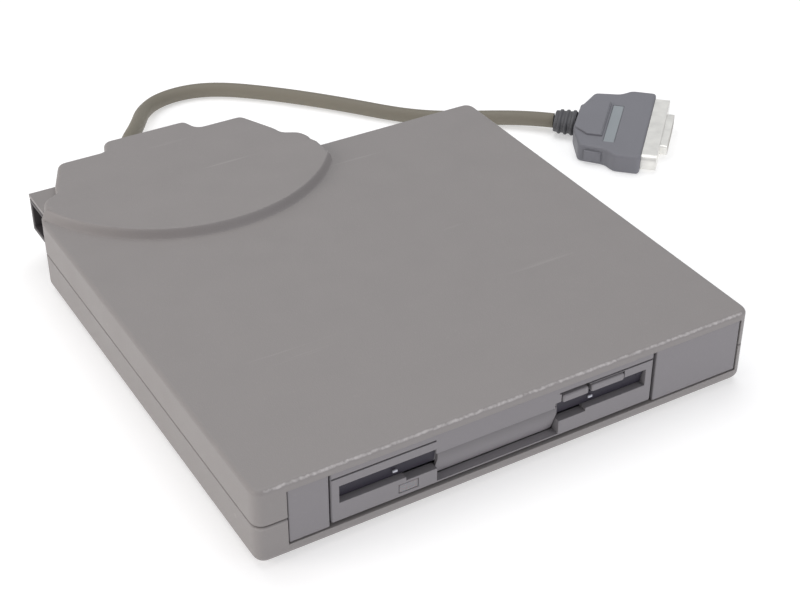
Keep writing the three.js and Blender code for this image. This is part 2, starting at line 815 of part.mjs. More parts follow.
function screwSolid(x, y, z, headRadius, headThickness, radius, length) {
  const head = barZ(x, y, headRadius, z, z + headThickness);
  const slot = [0, 1].map((turn) => block(
    x - headRadius * (turn ? 0.15 : 0.6), x + headRadius * (turn ? 0.15 : 0.6),
    y - headRadius * (turn ? 0.6 : 0.15), y + headRadius * (turn ? 0.6 : 0.15),
    z - overrun, z + headThickness * 0.5));
  return cut(join(head, barZ(x, y, radius, z + headThickness * 0.8, z + headThickness + length, 8)), slot);
}
bosses.forEach(([x, y], i) => part(`case_screw_${i + 1}`, screwSolid(x, y, base + gap / 2, caseScrewHead,
  caseScrewHeadThickness - gap, caseScrewRadius, caseScrewLength), "steel"));
standPlaces.forEach(([x, y], i) => part(`drive_screw_${i + 1}`, screwSolid(x, y, base + gap / 2,
  driveScrewHead,
  caseWall / 2 - gap * 1.5, driveScrewRadius, driveScrewLength), "steel"));

// Blank panels: a plate with a fold at each side that snaps in behind the case's front
function blankPanel(x0, x1) {
  const z0 = base + openingBottom + panelGap;
  const z1 = base + openingTop - panelGap;
  const y0 = front + panelRecess;
  const face = block(x0, x1, y0, y0 + panelThickness, z0, z1);
  const arms = [x0 + panelThickness, x1 - panelThickness].map((x) => block(x - panelPostWidth / 2,
    x + panelPostWidth / 2,
    y0 + panelThickness / 2, y0 + panelThickness * 4, z0 + panelThickness, z1 - panelThickness));
  const catches = [x0 + panelThickness, x1 - panelThickness].map((x) => block(x - panelPostWidth / 2,
    x + panelPostWidth / 2, front + caseWall + gap * 2, front + caseWall * 2, z1 - panelThickness * 2,
      z1 + panelGap * 0.5));
  return join(face, arms, catches);
}
const rightPanelX = driveOffset + bezelHalf + rightPanelPlay;
part("left_blank_panel", blankPanel(leftPanelX, leftPanelX + leftPanelWidth), "case_front");
part("right_blank_panel", blankPanel(rightPanelX, rightPanelX + rightPanelWidth), "case_front");

// Drive front

function driveBezel() {
  const faceBack = bezelFace + bezelThickness;
  const plate = roundedPlate(-bezelHalf, bezelHalf, bezelFace, faceBack, bezelBottom, bezelTop);
  const pad = roundedPlate(padLeft, padRight, bezelFace - padProud, faceBack, padBottom, buttonTop);
  const padNotch = block(padLeft - gap, buttonLeft - gap, bezelFace - overrun, bezelFace + grooveDepth,
    padBottom - gap, barTop + grooveWidth);
  const slot = block(-slotHalf, slotHalf, -overrun, faceBack + overrun, slotLedge, slotTop);
  const barBack = flapTopY - gap;
  const bridge = block(bridgeLeft, bridgeRight, bezelFace, barBack, bridgeBottom, slotTop + overrun);
  const steps = block(ledgeStepLeft, ledgeStepRight, -overrun, faceBack + overrun,
    slotLedge - ledgeStepDrop, slotTop);
  const scoop = block(scoopLeft, scoopRight, -overrun, faceBack + overrun, scoopFloor, slotTop);
  const grooves = [[-bezelHalf + gap, bridgeLeft], [bridgeRight + gap * 4, bezelHalf - gap]].map(([x0,
    x1]) => block(
    x0, x1, -overrun, bezelFace + grooveDepth, barTop, barTop + grooveWidth));
  const chamfer = outline([
    [bezelFace - overrun, slotTop + slotChamfer + overrun],
    [bezelFace + slotChamfer + overrun, slotTop - overrun],
    [bezelFace - overrun, slotTop - overrun],
  ]);
  const chamfers = [[-slotHalf, bridgeLeft], [bridgeRight, slotHalf]].map(([x0, x1]) => prismX(chamfer, x0,
    x1));
  const buttonHole = block(buttonLeft - gap, buttonRight + gap, -overrun, faceBack + overrun,
    slotTop - overrun, buttonTop + gap);
  const lensHole = block(lensLeft - gap / 2, lensRight + gap / 2, -overrun, bezelFace + lensDepth + gap / 2,
    lensBottom - gap / 2, lensTop + gap / 2);
  const flapPit = block(-slotHalf, slotHalf, barBack, faceBack + overrun,
    slotLedge, flapAxisZ + earHeight / 2);
  const ears = [-1, 1].map((side) => {
    const inner = side * (slotHalf + gap / 3);
    const outer = side * (slotHalf + earThickness);
    return block(Math.min(inner, outer), Math.max(inner, outer), faceBack - overrun,
      chassisStart - gap, slotLedge, flapAxisZ + earHeight / 2);
  });
  const holes = barX(flapAxisY, flapAxisZ, flapPinRadius + runningGap, -slotHalf - earThickness - overrun,
    slotHalf + earThickness + overrun);
  const clips = [-1, 1].map((side) => block(side * clipOffset - clipHalf, side * clipOffset + clipHalf,
    faceBack - overrun, chassisStart - gap, bezelBottom + gap, bezelBottom + gap + sheet * 2));
  let made = cut(plate, padNotch);
  made = join(cut(made, slot, steps, scoop, chamfers), bridge, pad, ears, clips);
  return cut(made, scoop.intersect(block(scoopLeft, scoopRight, -overrun, faceBack + overrun, scoopFloor,
    bridgeBottom)),
    flapPit, grooves, buttonHole, lensHole, holes);
}

// A plate in X and Z whose front edges are slightly rounded
function roundedPlate(x0, x1, y0, y1, z0, z1) {
  const radius = padFillet;
  const shape = roundedRectangle(x0, x1, z0, z1, radius);
  const geometry = new THREE.ExtrudeGeometry(shape, {
    depth: y1 - y0 - radius / 2,
    bevelThickness: radius / 2,
    bevelSize: radius / 2,
    bevelOffset: -radius / 2,
    bevelSegments: 1,
    curveSegments: 2,
  });
  geometry.applyMatrix4(new THREE.Matrix4().makeBasis(
    new THREE.Vector3(1, 0, 0), new THREE.Vector3(0, 0, 1), new THREE.Vector3(0, -1, 0)));
  const room = block(x0 - overrun, x1 + overrun, y0 - overrun, y1, z0 - overrun, z1 + overrun);
  return solid(geometry.translate(0, y1, 0)).intersect(room);
}

function ejectButton() {
  const face = bezelFace - padProud;
  const cap = roundedPlate(buttonLeft, buttonRight, face, face + buttonDepth, buttonBottom, buttonTop);
  const stem = block(buttonLeft + stemInset, buttonRight - stemInset, face + buttonDepth / 2, stemEnd,
    stemBottom, stemTop);
  return join(cap, stem);
}

// The flap hangs from two end pins. Its middle is taller, as it also closes the finger scoop.
function dustFlap() {
  const sideProfile = outline([
    [flapTopY, flapTopZ],
    [flapTopY + flapThickness, flapTopZ],
    [flapSideTipY + flapThickness, flapSideTipZ],
    [flapSideTipY, flapSideTipZ],
  ]);
  const tongueProfile = outline([
    [flapTopY, flapTopZ],
    [flapTopY + flapThickness, flapTopZ],
    [flapBendY + flapThickness * 1.2, flapBendZ],
    [flapTipY + flapThickness, flapTipZ],
    [flapTipY, flapTipZ],
    [flapBendY, flapBendZ],
    [flapBendY, bridgeBottom - gap],
    [flapTopY, bridgeBottom - gap],
  ]);
  const armProfile = outline([
    [flapTopY, flapTopZ - overrun],
    [flapTopY, flapAxisZ],
    [flapAxisY, flapAxisZ + flapThickness],
    [flapAxisY + flapThickness, flapAxisZ],
    [flapTopY + flapThickness * 1.6, flapTopZ - overrun],
  ]);
  const end = slotHalf - gap;
  const sides = prismX(sideProfile, -end, end);
  const tongue = prismX(tongueProfile, flapTongueLeft, flapTongueRight);
  const arms = [-end, end - flapArmWidth].map((x) => prismX(armProfile, x, x + flapArmWidth));
  const pins = [[-end - earThickness, -end + gap], [end - gap, end + earThickness]].map(([x0, x1]) => barX(
    flapAxisY, flapAxisZ, flapPinRadius, x0, x1));
  return join(sides, tongue, arms, pins);
}

part("drive_bezel", driveBezel(), "case_front", drive);
part("activity_lens", block(lensLeft, lensRight, bezelFace, bezelFace + lensDepth, lensBottom, lensTop),
  "lens", drive);
part("eject_button", ejectButton(), "case_front", drive);
part("dust_flap", dustFlap(), "case_front", drive);

// Chassis, shield, carrier and slider

// The way that a carrier pin takes in the slider's plate, as the slider moves to the front
function camSlot(y, x0, x1) {
  const reach = pinRadius + slotPlay;
  const ends = [[y, pinHeight], [y + sliderTravel, pinHeight - carrierDrop]];
  const along = new THREE.Vector2(sliderTravel, -carrierDrop).normalize();
  const across = new THREE.Vector2(-along.y, along.x).multiplyScalar(reach);
  const [[y0, z0], [y1, z1]] = ends;
  const ramp = outline([
    [y0 + across.x, z0 + across.y],
    [y0 - across.x, z0 - across.y],
    [y1 - across.x, z1 - across.y],
    [y1 + across.x, z1 + across.y],
  ]);
  return join(prismX(ramp, x0, x1), ends.map(([v, w]) => barX(v, w, reach, x0, x1, 12)));
}

function chassis() {
  const wallBottom = chassisFloor;
  const wallInner = chassisHalf - sheet;
  const end = driveDepth;
  const pan = block(-chassisHalf, chassisHalf, chassisStart, end, wallBottom, chassisTop);
  const hollow = block(-wallInner, wallInner, chassisStart - overrun, end - sheet, wallBottom + sheet,
    chassisTop + overrun);
  const slots = pinPlaces.map((y) => block(-chassisHalf - overrun, chassisHalf + overrun,
    y - pinRadius - slotPlay, y + pinRadius + slotPlay, pinHeight - carrierDrop - pinRadius - slotPlay,
      chassisTop + overrun));
  const rearWindow = block(connectorX0 - gap, connectorX1 + gap, end - sheet - overrun, end + overrun,
    connectorZ0 - gap, connectorZ0 + connectorHeight + gap);
  const stepperWindow = block(stepperX - stepperFlangeHalf, stepperX + stepperFlangeHalf,
    end - sheet - overrun,
    end + overrun, stepperZ - stepperRadius / 2, stepperZ + stepperRadius / 2);
  const threads = standPlaces.map(([x, y]) => barZ(x - driveOffset, y - front, driveScrewRadius + gap,
    -overrun, chassisFloor + sheet + overrun, 12));
  const lightening = [-1, 1].map((side) => barZ(side * chassisHalf * 0.7, driveDepth * 0.6, floorHoleRadius,
    -overrun, chassisFloor + sheet + overrun, 20));
  return cut(pan, hollow, slots, rearWindow, stepperWindow, threads, lightening);
}

function topShield() {
  const z1 = driveHeight;
  const half = driveWidth / 2;
  const outer = block(-half, half, chassisStart, driveDepth, z1 - shieldThickness - shieldFlangeDrop, z1);
  const inner = block(-half + sheet / 2, half - sheet / 2, chassisStart - overrun, driveDepth + overrun,
    z1 - shieldThickness - shieldFlangeDrop - overrun, z1 - shieldThickness);
  const opening = roundedRectangle(-shieldWindowHalf, shieldWindowHalf, shieldWindowStart, shieldWindowEnd,
    footRadius);
  const notches = pinPlaces.map((y) => block(-half - overrun, half + overrun, y - pinReach * 2,
    y + pinReach * 2,
    0, z1 - shieldThickness * 2));
  return cut(outer, inner, prismZ(opening, 0, z1 + overrun), notches);
}

function diskCarrier() {
  const inner = carrierHalf - carrierSheet;
  const tray = block(-carrierHalf, carrierHalf, carrierStart, carrierEnd, carrierLipZ,
    carrierTopZ + carrierSheet);
  const room = block(-inner, inner, carrierStart - overrun, carrierEnd + overrun,
    carrierLipZ + carrierSheet, carrierTopZ);
  const under = block(-carrierHalf + carrierLip, carrierHalf - carrierLip, carrierStart - overrun,
    carrierEnd + overrun, carrierLipZ - overrun, carrierTopZ - overrun);
  const headWindow = block(-carrierWindowHalf, carrierWindowHalf, carrierWindowStart, carrierEnd + overrun,
    carrierLipZ, carrierTopZ + overrun);
  const finger = roundedRectangle(-carrierFingerHalf, carrierFingerHalf, carrierStart - carrierFingerDepth,
    carrierStart + carrierFingerDepth, footRadius);
  const pins = pinPlaces.flatMap((y) => [-1, 1].map((side) => {
    const ends = [side * (carrierHalf - carrierSheet / 2), side * (carrierHalf + pinReach)].sort((a,
      b) => a - b);
    return barX(y, pinHeight, pinRadius, ends[0], ends[1], 12);
  }));
  const pivotHole = barZ(leverX, leverY, leverPivotRadius + runningGap, carrierTopZ - overrun,
    carrierTopZ + overrun);
  const plate = cut(tray, room, under, headWindow, prismZ(finger, carrierTopZ - overrun,
    carrierTopZ + overrun),
    leverSlot(), pivotHole);
  return join(plate, pins);
}

// The curved slot that the shutter lever's pin moves along
function leverSlot() {
  const steps = 8;
  const radius = leverLength;
  const reach = leverPinRadius + slotPlay;
  const ring = Array.from({ length: steps + 1 }, (_, i) => {
    const angle = THREE.MathUtils.degToRad(leverAngle + (leverSwing * i) / steps);
    return new THREE.Vector2(Math.cos(angle), Math.sin(angle));
  });
  const outer = ring.map((way) => [leverX + way.x * (radius + reach), leverY + way.y * (radius + reach)]);
  const inner = ring.map((way) => [leverX + way.x * (radius - reach),
    leverY + way.y * (radius - reach)]).reverse();
  const sector = prismZ(outline([...outer, ...inner]), carrierTopZ - overrun, carrierTopZ + overrun);
  const ends = [ring[0], ring[steps]].map((way) => barZ(leverX + way.x * radius, leverY + way.y * radius,
    reach,
    carrierTopZ - overrun, carrierTopZ + overrun, 12));
  return join(sector, ends);
}

function shutterLever() {
  const angle = THREE.MathUtils.degToRad(leverAngle);
  const tipX = leverX + Math.cos(angle) * leverLength;
  const tipY = leverY + Math.sin(angle) * leverLength;
  const z0 = carrierTopZ + carrierSheet + gap;
  const across = new THREE.Vector2(-Math.sin(angle), Math.cos(angle)).multiplyScalar(leverWidth / 2);
  const arm = prismZ(outline([
    [leverX + across.x, leverY + across.y],
    [leverX - across.x, leverY - across.y],
    [tipX - across.x * 0.7, tipY - across.y * 0.7],
    [tipX + across.x * 0.7, tipY + across.y * 0.7],
  ]), z0, z0 + leverThickness);
  const hub = barZ(leverX, leverY, leverWidth * 0.7, z0, z0 + leverThickness);
  const pivot = barZ(leverX, leverY, leverPivotRadius, carrierTopZ, z0 + leverThickness, 12);
  const pin = barZ(tipX, tipY, leverPinRadius, carrierTopZ - leverPinDrop, z0 + leverThickness, 12);
  const tip = barZ(tipX, tipY, leverWidth * 0.5, z0, z0 + leverThickness, 12);
  return join(arm, hub, pivot, tip, pin);
}

function sliderPlate() {
  const z1 = sliderTopZ + sliderSheet;
  const inner = sliderHalf - sliderSheet;
  const hood = block(-sliderHalf, sliderHalf, sliderStart, sliderEnd, sliderBottomZ, z1);
  const room = block(-inner, inner, sliderStart - overrun, sliderEnd + overrun, sliderBottomZ - overrun,
    sliderTopZ);
  const windowHalf = inner - sliderStripWidth;
  const windows = [[sliderStart + sliderFrontDepth, sliderRearStart],
    [sliderRearStart + sliderRearDepth, sliderEnd + overrun]].map(([y0, y1]) => block(-windowHalf,
      windowHalf,
    y0, y1, sliderTopZ - overrun, z1 + overrun));
  const slots = pinPlaces.flatMap((y) => [-1, 1].map((side) => {
    const ends = [side * (inner - overrun), side * (sliderHalf + overrun)].sort((a, b) => a - b);
    return camSlot(y, ends[0], ends[1]);
  }));
  const tab = block(sliderTabLeft, sliderTabRight, stemEnd + gap, sliderStart + overrun, sliderTopZ, z1);
  return join(cut(hood, room, windows, slots), tab);
}

// Drive electronics' places, which the chassis' rear window follows
const connectorX0 = driveBoardLeft + connectorInset;
const connectorX1 = connectorX0 + connectorWidth;
const connectorZ0 = driveBoardZ + boardThickness + gap;

part("drive_chassis", chassis(), "steel", drive);
part("top_shield", topShield(), "steel", drive);
part("disk_carrier", diskCarrier(), "steel", drive);
part("slider_plate", sliderPlate(), "steel", drive);
part("shutter_lever", shutterLever(), "steel", drive);

// Spindle motor

function statorSolid() {
  const steps = statorTeeth * 2;
  const points = Array.from({ length: steps }, (_, i) => {
    const middle = (i / steps) * Math.PI * 2;
    const share = (i % 2 ? 1 - statorToothShare : statorToothShare) * (Math.PI / statorTeeth);
    const radius = i % 2 ? (statorInner + statorOuter) / 2 : statorOuter;
    return [[radius * Math.cos(middle - share), radius * Math.sin(middle - share)],
      [radius * Math.cos(middle + share), radius * Math.sin(middle + share)]];
  }).flat();
  const core = prismZ(outline(points), statorZ, statorZ + statorHeight);
  return core.subtract(barZ(0, 0, statorInner, statorZ - overrun, statorZ + statorHeight + overrun, 24))
    .translate([0, disksCentre, 0]);
}

function rotorSolid() {
  const rim = statorOuter + gap * 3;
  return turnedSolid([
    [rotorBore, rotorZ],
    [rim, rotorZ],
    [rim, statorZ],
    [rim + rotorWall, statorZ],
    [rotorRadius, rotorZ],
    [rotorRadius, rotorZ + rotorThickness],
    [rotorBore, rotorZ + rotorThickness],
  ], 0, disksCentre, 40);
}

function hubSolid() {
  const z0 = rotorZ + rotorThickness + gap;
  const plate = barZ(0, disksCentre, hubRadius, z0, z0 + hubThickness, 32);
  const neck = barZ(0, disksCentre, hubNeckRadius, rotorZ, z0 + hubThickness / 2, 20);
  const shaft = barZ(0, disksCentre, spindleRadius, motorBoardZ, z0 + hubThickness + spindleRise, 16);
  const drivePin = barZ(drivePinReach, disksCentre, drivePinRadius, z0, z0 + hubThickness + drivePinRise,
    12);
  return join(plate, neck, shaft, drivePin);
}

function bearingSolid() {
  const z0 = motorBoardZ + motorBoardThickness + gap;
  return barZ(0, disksCentre, bearingRadius, z0, z0 + bearingHeight - gap)
    .subtract(barZ(0, disksCentre, spindleRadius + runningGap, z0 - overrun, z0 + bearingHeight + overrun));
}

function motorBoard() {
  const corner = motorBoardHalf * 0.4;
  const shape = outline([
    [-motorBoardHalf, motorBoardStart + corner],
    [-motorBoardHalf + corner, motorBoardStart],
    [motorBoardHalf - corner, motorBoardStart],
    [motorBoardHalf, motorBoardStart + corner],
    [motorBoardHalf, motorBoardEnd - corner],
    [motorBoardHalf - corner, motorBoardEnd],
    [-motorBoardHalf + corner, motorBoardEnd],
    [-motorBoardHalf, motorBoardEnd - corner],
  ]);
  return prismZ(shape, motorBoardZ, motorBoardZ + motorBoardThickness)
    .subtract(barZ(0, disksCentre, spindleRadius + runningGap, 0, motorBoardZ + overrun));
}

part("motor_board", motorBoard(), "board", drive);
part("motor_stator", statorSolid(), "copper", drive);
part("spindle_bearing", bearingSolid(), "brass", drive);
part("spindle_rotor", rotorSolid(), "steel", drive);
part("spindle_hub", hubSolid(), "magnet", drive);

// Head drive

function stepperMotor() {
  const can = barY(stepperX, stepperZ, stepperRadius, stepperStart, stepperStart + stepperLength, 24);
  const flange = block(stepperX - stepperFlangeHalf, stepperX + stepperFlangeHalf, stepperStart,
    stepperStart + sheet, driveBoardZ, stepperZ + stepperRadius * 0.8);
  const bore = barY(stepperX, stepperZ, screwRadius + gap, stepperStart - overrun,
    stepperStart + stepperLength / 2);
  return cut(join(can, flange), bore);
}

// One round bar with a helical groove, as rings of points that turn with the pitch
function leadScrew() {
  const length = stepperStart + stepperLength / 2 - gap - screwStart;
  const rings = Math.round((length / screwPitch) * screwSteps);
  const sides = 6;
  const positions = [];
  for (let i = 0; i <= rings; i += 1) {
    const along = screwStart + (length * i) / rings;
    for (let j = 0; j < sides; j += 1) {
      const angle = (j / sides) * Math.PI * 2;
      const phase = angle - (along / screwPitch) * Math.PI * 2;
      const radius = screwRadius - screwGroove * (0.5 - 0.5 * Math.cos(phase));
      positions.push(stepperX + radius * Math.cos(angle), along, stepperZ + radius * Math.sin(angle));
    }
  }
  const faces = [];
  for (let i = 0; i < rings; i += 1) {
    for (let j = 0; j < sides; j += 1) {
      const a = i * sides + j;
      const b = i * sides + ((j + 1) % sides);
      faces.push(a, a + sides, b, b, a + sides, b + sides);
    }
  }
  for (let j = 1; j < sides - 1; j += 1) {
    const last = rings * sides;
    faces.push(0, j, j + 1, last, last + j + 1, last + j);
  }
  const geometry = new THREE.BufferGeometry();
  geometry.setAttribute("position", new THREE.Float32BufferAttribute(positions, 3));
  geometry.setIndex(faces);
  return solid(geometry);
}

function guideRod() {
  const end = driveDepth - sheet - gap;
  const rod = barY(guideX, guideZ, guideRadius, guideStart, end, 12);
  const feet = [guideStart + overrun, end - overrun * 2].map((y) => block(guideX - guideRadius,
    guideX + guideRadius,
    y, y + overrun, chassisFloor + sheet + gap, guideZ));
  return join(rod, feet);
}

function headCarriage() {
  const body = block(blockLeft, blockRight, blockStart, blockEnd, blockBottom, blockTop);
  const pocket = block(blockLeft + blockPocket * 7, blockRight - blockPocket, blockStart + blockPocket,
    blockEnd - blockPocket, blockTop - blockPocket * 2, blockTop + overrun);
  const bore = barY(guideX, guideZ, guideRadius + runningGap, blockStart - overrun, blockEnd + overrun, 12);
  const footRoom = block(guideX - guideRadius - gap, guideX + guideRadius + gap, blockStart - overrun,
    blockEnd + overrun, 0, guideZ);
  const lowerArm = block(-armHalf, armHalf, headY - headHalf * 2, blockStart + overrun,
    blockBottom + blockPocket / 2, lowerArmTop);
  const nutBlock = block(blockRight - overrun, stepperX + screwRadius + blockPocket * 1.5, nutStart,
    nutEnd, blockBottom * 2, nutTop);
  const nutBore = barY(stepperX, stepperZ, screwRadius + runningGap, nutStart - overrun, nutEnd + overrun,
    16);
  const posts = [-1, 1].map((side) => block(
    side > 0 ? armBracketHalf - armBracketThickness : -armBracketHalf,
    side > 0 ? armBracketHalf : -armBracketHalf + armBracketThickness,
    armAxisY - armBarrelRadius, armAxisY + armBarrelRadius, blockTop - blockPocket * 3,
      armAxisZ + armBarrelRadius));
  const pinHoles = barX(armAxisY, armAxisZ, armPinRadius + runningGap, -armBracketHalf - overrun,
    armBracketHalf + overrun, 12);
  return cut(join(cut(body, pocket), lowerArm, nutBlock, posts), bore, footRoom, nutBore, pinHoles);
}

function upperHeadArm() {
  const arm = outline([
    [-upperArmHalf * 0.6, headY - headHalf * 1.5],
    [upperArmHalf * 0.6, headY - headHalf * 1.5],
    [upperArmHalf, headY + headHalf * 4],
    [upperArmHalf, armAxisY],
    [-upperArmHalf, armAxisY],
    [-upperArmHalf, headY + headHalf * 4],
  ]);
  const plate = prismZ(arm, upperArmZ, upperArmZ + upperArmThickness);
  const barrel = barX(armAxisY, armAxisZ, armBarrelRadius, -upperArmHalf, upperArmHalf, 16);
  const pin = barX(armAxisY, armAxisZ, armPinRadius, -armBracketHalf, armBracketHalf, 12);
  return join(plate, barrel, pin);
}

const lowerHead = roundedPrismZ(roundedRectangle(-headHalf, headHalf, headY - headHalf, headY + headHalf,
  headHalf / 2),
  lowerArmTop + gap, lowerHeadTop, sheet / 2, 2);
const upperHead = roundedPrismZ(roundedRectangle(-headHalf, headHalf, headY - headHalf, headY + headHalf,
  headHalf / 2),
  upperHeadBottom, upperArmZ - gap / 2, sheet / 3, 2);

part("stepper_motor", stepperMotor(), "steel", drive);
part("lead_screw", leadScrew(), "brass", drive);
part("guide_rod", guideRod(), "steel", drive);
part("head_carriage", headCarriage(), "white_plastic", drive);
part("lower_head", lowerHead, "magnet", drive);
part("upper_head_arm", upperHeadArm(), "white_plastic", drive);
part("upper_head", upperHead, "magnet", drive);

// Electronics

// A circuit board with its chips, placed as shares of the board
function boardSolid(x0, x1, y0, y1, z0, chipShares) {
  const z1 = z0 + boardThickness;
  const chips = chipShares.map(([u, v, w, d]) => block(x0 + (x1 - x0) * u, x0 + (x1 - x0) * (u + w),
    y0 + (y1 - y0) * (v - d / 2), y0 + (y1 - y0) * (v + d / 2), z1 - boardThickness / 2, z1 + chipHeight));
  return join(block(x0, x1, y0, y1, z0, z1), chips);
}

function diskSensors() {
  const z0 = driveBoardZ + boardThickness + gap;
  const xs = sensorPlaces.map(([x]) => x);
  const [, y] = sensorPlaces[0];
  const strip = block(Math.min(...xs) - sensorSize / 2, Math.max(...xs) + sensorSize / 2,
    y - sensorSize / 2, y + sensorSize / 2, z0, z0 + sensorHeight / 2);
  const plungers = sensorPlaces.map(([x, v]) => join(
    block(x - sensorSize / 3, x + sensorSize / 3, v - sensorSize / 3, v + sensorSize / 3, z0,
      z0 + sensorHeight * 0.7),
    barZ(x, v, sensorPlungerRadius, z0, z0 + sensorHeight, 8)));
  return join(strip, plungers);
}

const interfaceX0 = housingOffset - interfaceHalf;
const interfaceX1 = housingOffset + interfaceHalf;
const ribbonX0 = driveOffset + connectorX0 + gap * 2;
const ribbonX1 = driveOffset + connectorX1 - gap * 2;
const ribbonZ = driveBase + connectorZ0 + connectorHeight / 2;
const ribbonY0 = front + driveDepth + gap;
const ribbonY1 = back + interfaceStart + connectorDepth - gap;
const boardConnectorY = back + interfaceStart + connectorDepth;

part("drive_board", boardSolid(driveBoardLeft, driveBoardRight, driveBoardStart, driveBoardEnd, driveBoardZ,
  driveChipShares), "board", drive);
part("disk_sensors", diskSensors(), "black_plastic", drive);
part("drive_connector", block(connectorX0, connectorX1, driveDepth - sheet - connectorDepth, driveDepth,
  connectorZ0, connectorZ0 + connectorHeight), "white_plastic", drive);
part("interface_board", boardSolid(interfaceX0, interfaceX1, back + interfaceStart, back + interfaceEnd,
  base + interfaceZ, interfaceChipShares), "board");
part("board_connector", block(ribbonX0, ribbonX1, boardConnectorY, boardConnectorY + connectorDepth,
  base + interfaceZ + boardThickness + gap, ribbonZ + connectorHeight / 2), "white_plastic");
part("ribbon_cable", block(ribbonX0 + gap, ribbonX1 - gap, ribbonY0, ribbonY1, ribbonZ - gap / 2,
  ribbonZ + gap / 2), "white_plastic");

// Side pocket: a dark frame that is open to the left
function pocketFrame() {
  const outer = block(pocketX0, pocketX1, pocketY0, pocketY1, pocketZ0, pocketZ1);
  const hollow = block(pocketX0 - overrun, pocketX1 - pocketWall, pocketY0 + pocketWall,
    pocketY1 - pocketWall,
    pocketZ0 + pocketWall, pocketZ1 - pocketWall);
  return cut(outer, hollow);
}
part("pocket_frame", pocketFrame(), "black_plastic");

// Flap spring: a torsion coil round the flap's right pin
function flapSpring() {
  const turns = 3;
  const radius = flapPinRadius + runningGap * 2 + springWire;
  const x0 = slotHalf - gap * 2 - flapArmWidth - springWire * 2;
  const pitch = springWire * 2 + runningGap * 1.5;
  const path = new THREE.CatmullRomCurve3(Array.from({ length: turns * 8 + 1 }, (_, i) => {
    const angle = (i / 8) * Math.PI * 2;
    return new THREE.Vector3(x0 - (pitch * i) / 8, flapAxisY + radius * Math.cos(angle),
      flapAxisZ + radius * Math.sin(angle));
  }));
  return solid(new THREE.ExtrudeGeometry(polygon(springWire, 5), { steps: turns * 8, extrudePath: path }));
}
part("flap_spring", flapSpring(), "steel", drive);

// Cable, gland and plug

// A solid of revolution about a line along Y, from a closed profile of radius and place along it
function turnedAlong(profile, segments = 24) {
  const points = [...profile, profile[0]].map(([r, v]) => new THREE.Vector2(r, v));
  return new THREE.LatheGeometry(points, segments);
}

function glandProfile() {
  const start = -caseWall - gap - glandFlangeThickness;
  const points = [[0, start], [glandFlangeRadius, start], [glandFlangeRadius, start + glandFlangeThickness],
    [glandRootRadius, start + glandFlangeThickness]];
  const ribLength = glandLength / (glandRibs + 1);
  for (let i = 1; i <= glandRibs; i += 1) {
    const along = ribLength * i;
    const radius = glandRootRadius + ((glandTipRadius - glandRootRadius) * along) / glandLength;
    points.push([radius, along - ribLength * 0.2], [radius - glandGroove, along - ribLength * 0.15],
      [radius - glandGroove, along + ribLength * 0.15], [radius, along + ribLength * 0.2]);
  }
  points.push([glandTipRadius, glandLength - gap * 2], [glandTipRadius - gap * 2, glandLength], [0,
    glandLength]);
  return points;
}
part("cable_gland", solid(turnedAlong(glandProfile(), 16).translate(glandX, housingEnd, glandZ)), "cable");

function cableTube() {
  const path = new THREE.CatmullRomCurve3(cableRoute.map(([x, y, z]) => new THREE.Vector3(x, y, z)));
  const section = polygon(cableRadius, cableSides);
  return solid(new THREE.ExtrudeGeometry(section, { steps: cableRoute.length - 1, extrudePath: path }));
}
part("cable", cableTube(), "cable");

// The plug's own frame: its front edge at x = 0, pointing along +X, lying on the ground
const plug = new THREE.Group();
plug.position.set(plugX, plugY, 0);
plug.rotation.z = THREE.MathUtils.degToRad(plugAngle);
group.add(plug);
const plugMiddle = plugThickness / 2;
const plugBack = -plugLength - plugTaperLength;

function plugHood() {
  const waistHalf = plugHalf - plugGripDepth;
  const side = [
    [0, plugHalf],
    [-plugGripStart, plugHalf],
    [-plugGripEnd, waistHalf],
    [-plugLength, plugBackHalf],
    [plugBack, plugTaperHalf],
  ];
  const points = [...side, ...side.map(([x, y]) => [x, -y]).reverse()];
  const body = roundedPrismZ(roundedOutline(points, plugFillet), 0, plugThickness, plugFillet / 2, 3);
  const bossEnd = plugBack + plugBossLength;
  const boss = prismZ(roundedOutline([
    [bossEnd, plugBossHalf],
    [-plugLength, plugBossHalf],
    [plugBack, plugTaperHalf],
    [plugBack, -plugTaperHalf],
    [-plugLength, -plugBossHalf],
    [bossEnd, -plugBossHalf],
  ], plugFillet / 2), plugMiddle, plugThickness + plugBossRise);
  const pads = block(-plugPadEnd, -plugPadStart, -plugBackHalf - plugPadRise * 2,
    plugBackHalf + plugPadRise * 2, plugThickness * 0.2, plugThickness * 0.75);
  const plate = block(-plateEnd, -plateStart, plateNear, plateFar, plugThickness - plateDepth,
    plugThickness + overrun);
  return join(body, boss, pads).subtract(plate);
}

function plugRelief() {
  const end = plugBack - gap;
  const ring = reliefLength / (reliefRings + 1);
  const points = [[0, end], [reliefHalf, end]];
  for (let i = 1; i <= reliefRings; i += 1) {
    const along = end - ring * i;
    points.push([reliefHalf, along + ring * 0.3], [reliefHalf - glandGroove, along + ring * 0.25],
      [reliefHalf - glandGroove, along - ring * 0.1], [reliefHalf, along - ring * 0.15]);
  }
  points.push([reliefHalf - gap, end - reliefLength], [0, end - reliefLength]);
  const geometry = turnedAlong(points, 16).rotateZ(-Math.PI / 2);
  return solid(geometry.scale(1, 1, reliefRise / reliefHalf).translate(0, 0, reliefRise));
}

// A D shape in the plug's width and height: one long side is shorter than the other
function tongueOutline(inset) {
  const half = tongueHalf - inset;
  const rise = tongueHeight / 2 - inset;
  return roundedOutline([
    [-half, plugMiddle + rise],
    [half, plugMiddle + rise],
    [half - tongueTaper, plugMiddle - rise],
    [-half + tongueTaper, plugMiddle - rise],
  ], shellCorner / 2);
}

// Outlines in the plug's width and height are drawn along Y, then turned to point along X
function alongPlug(shape, x0, x1) {
  return prismY(shape, -x1, -x0, 3).rotate([0, 0, 90]);
}

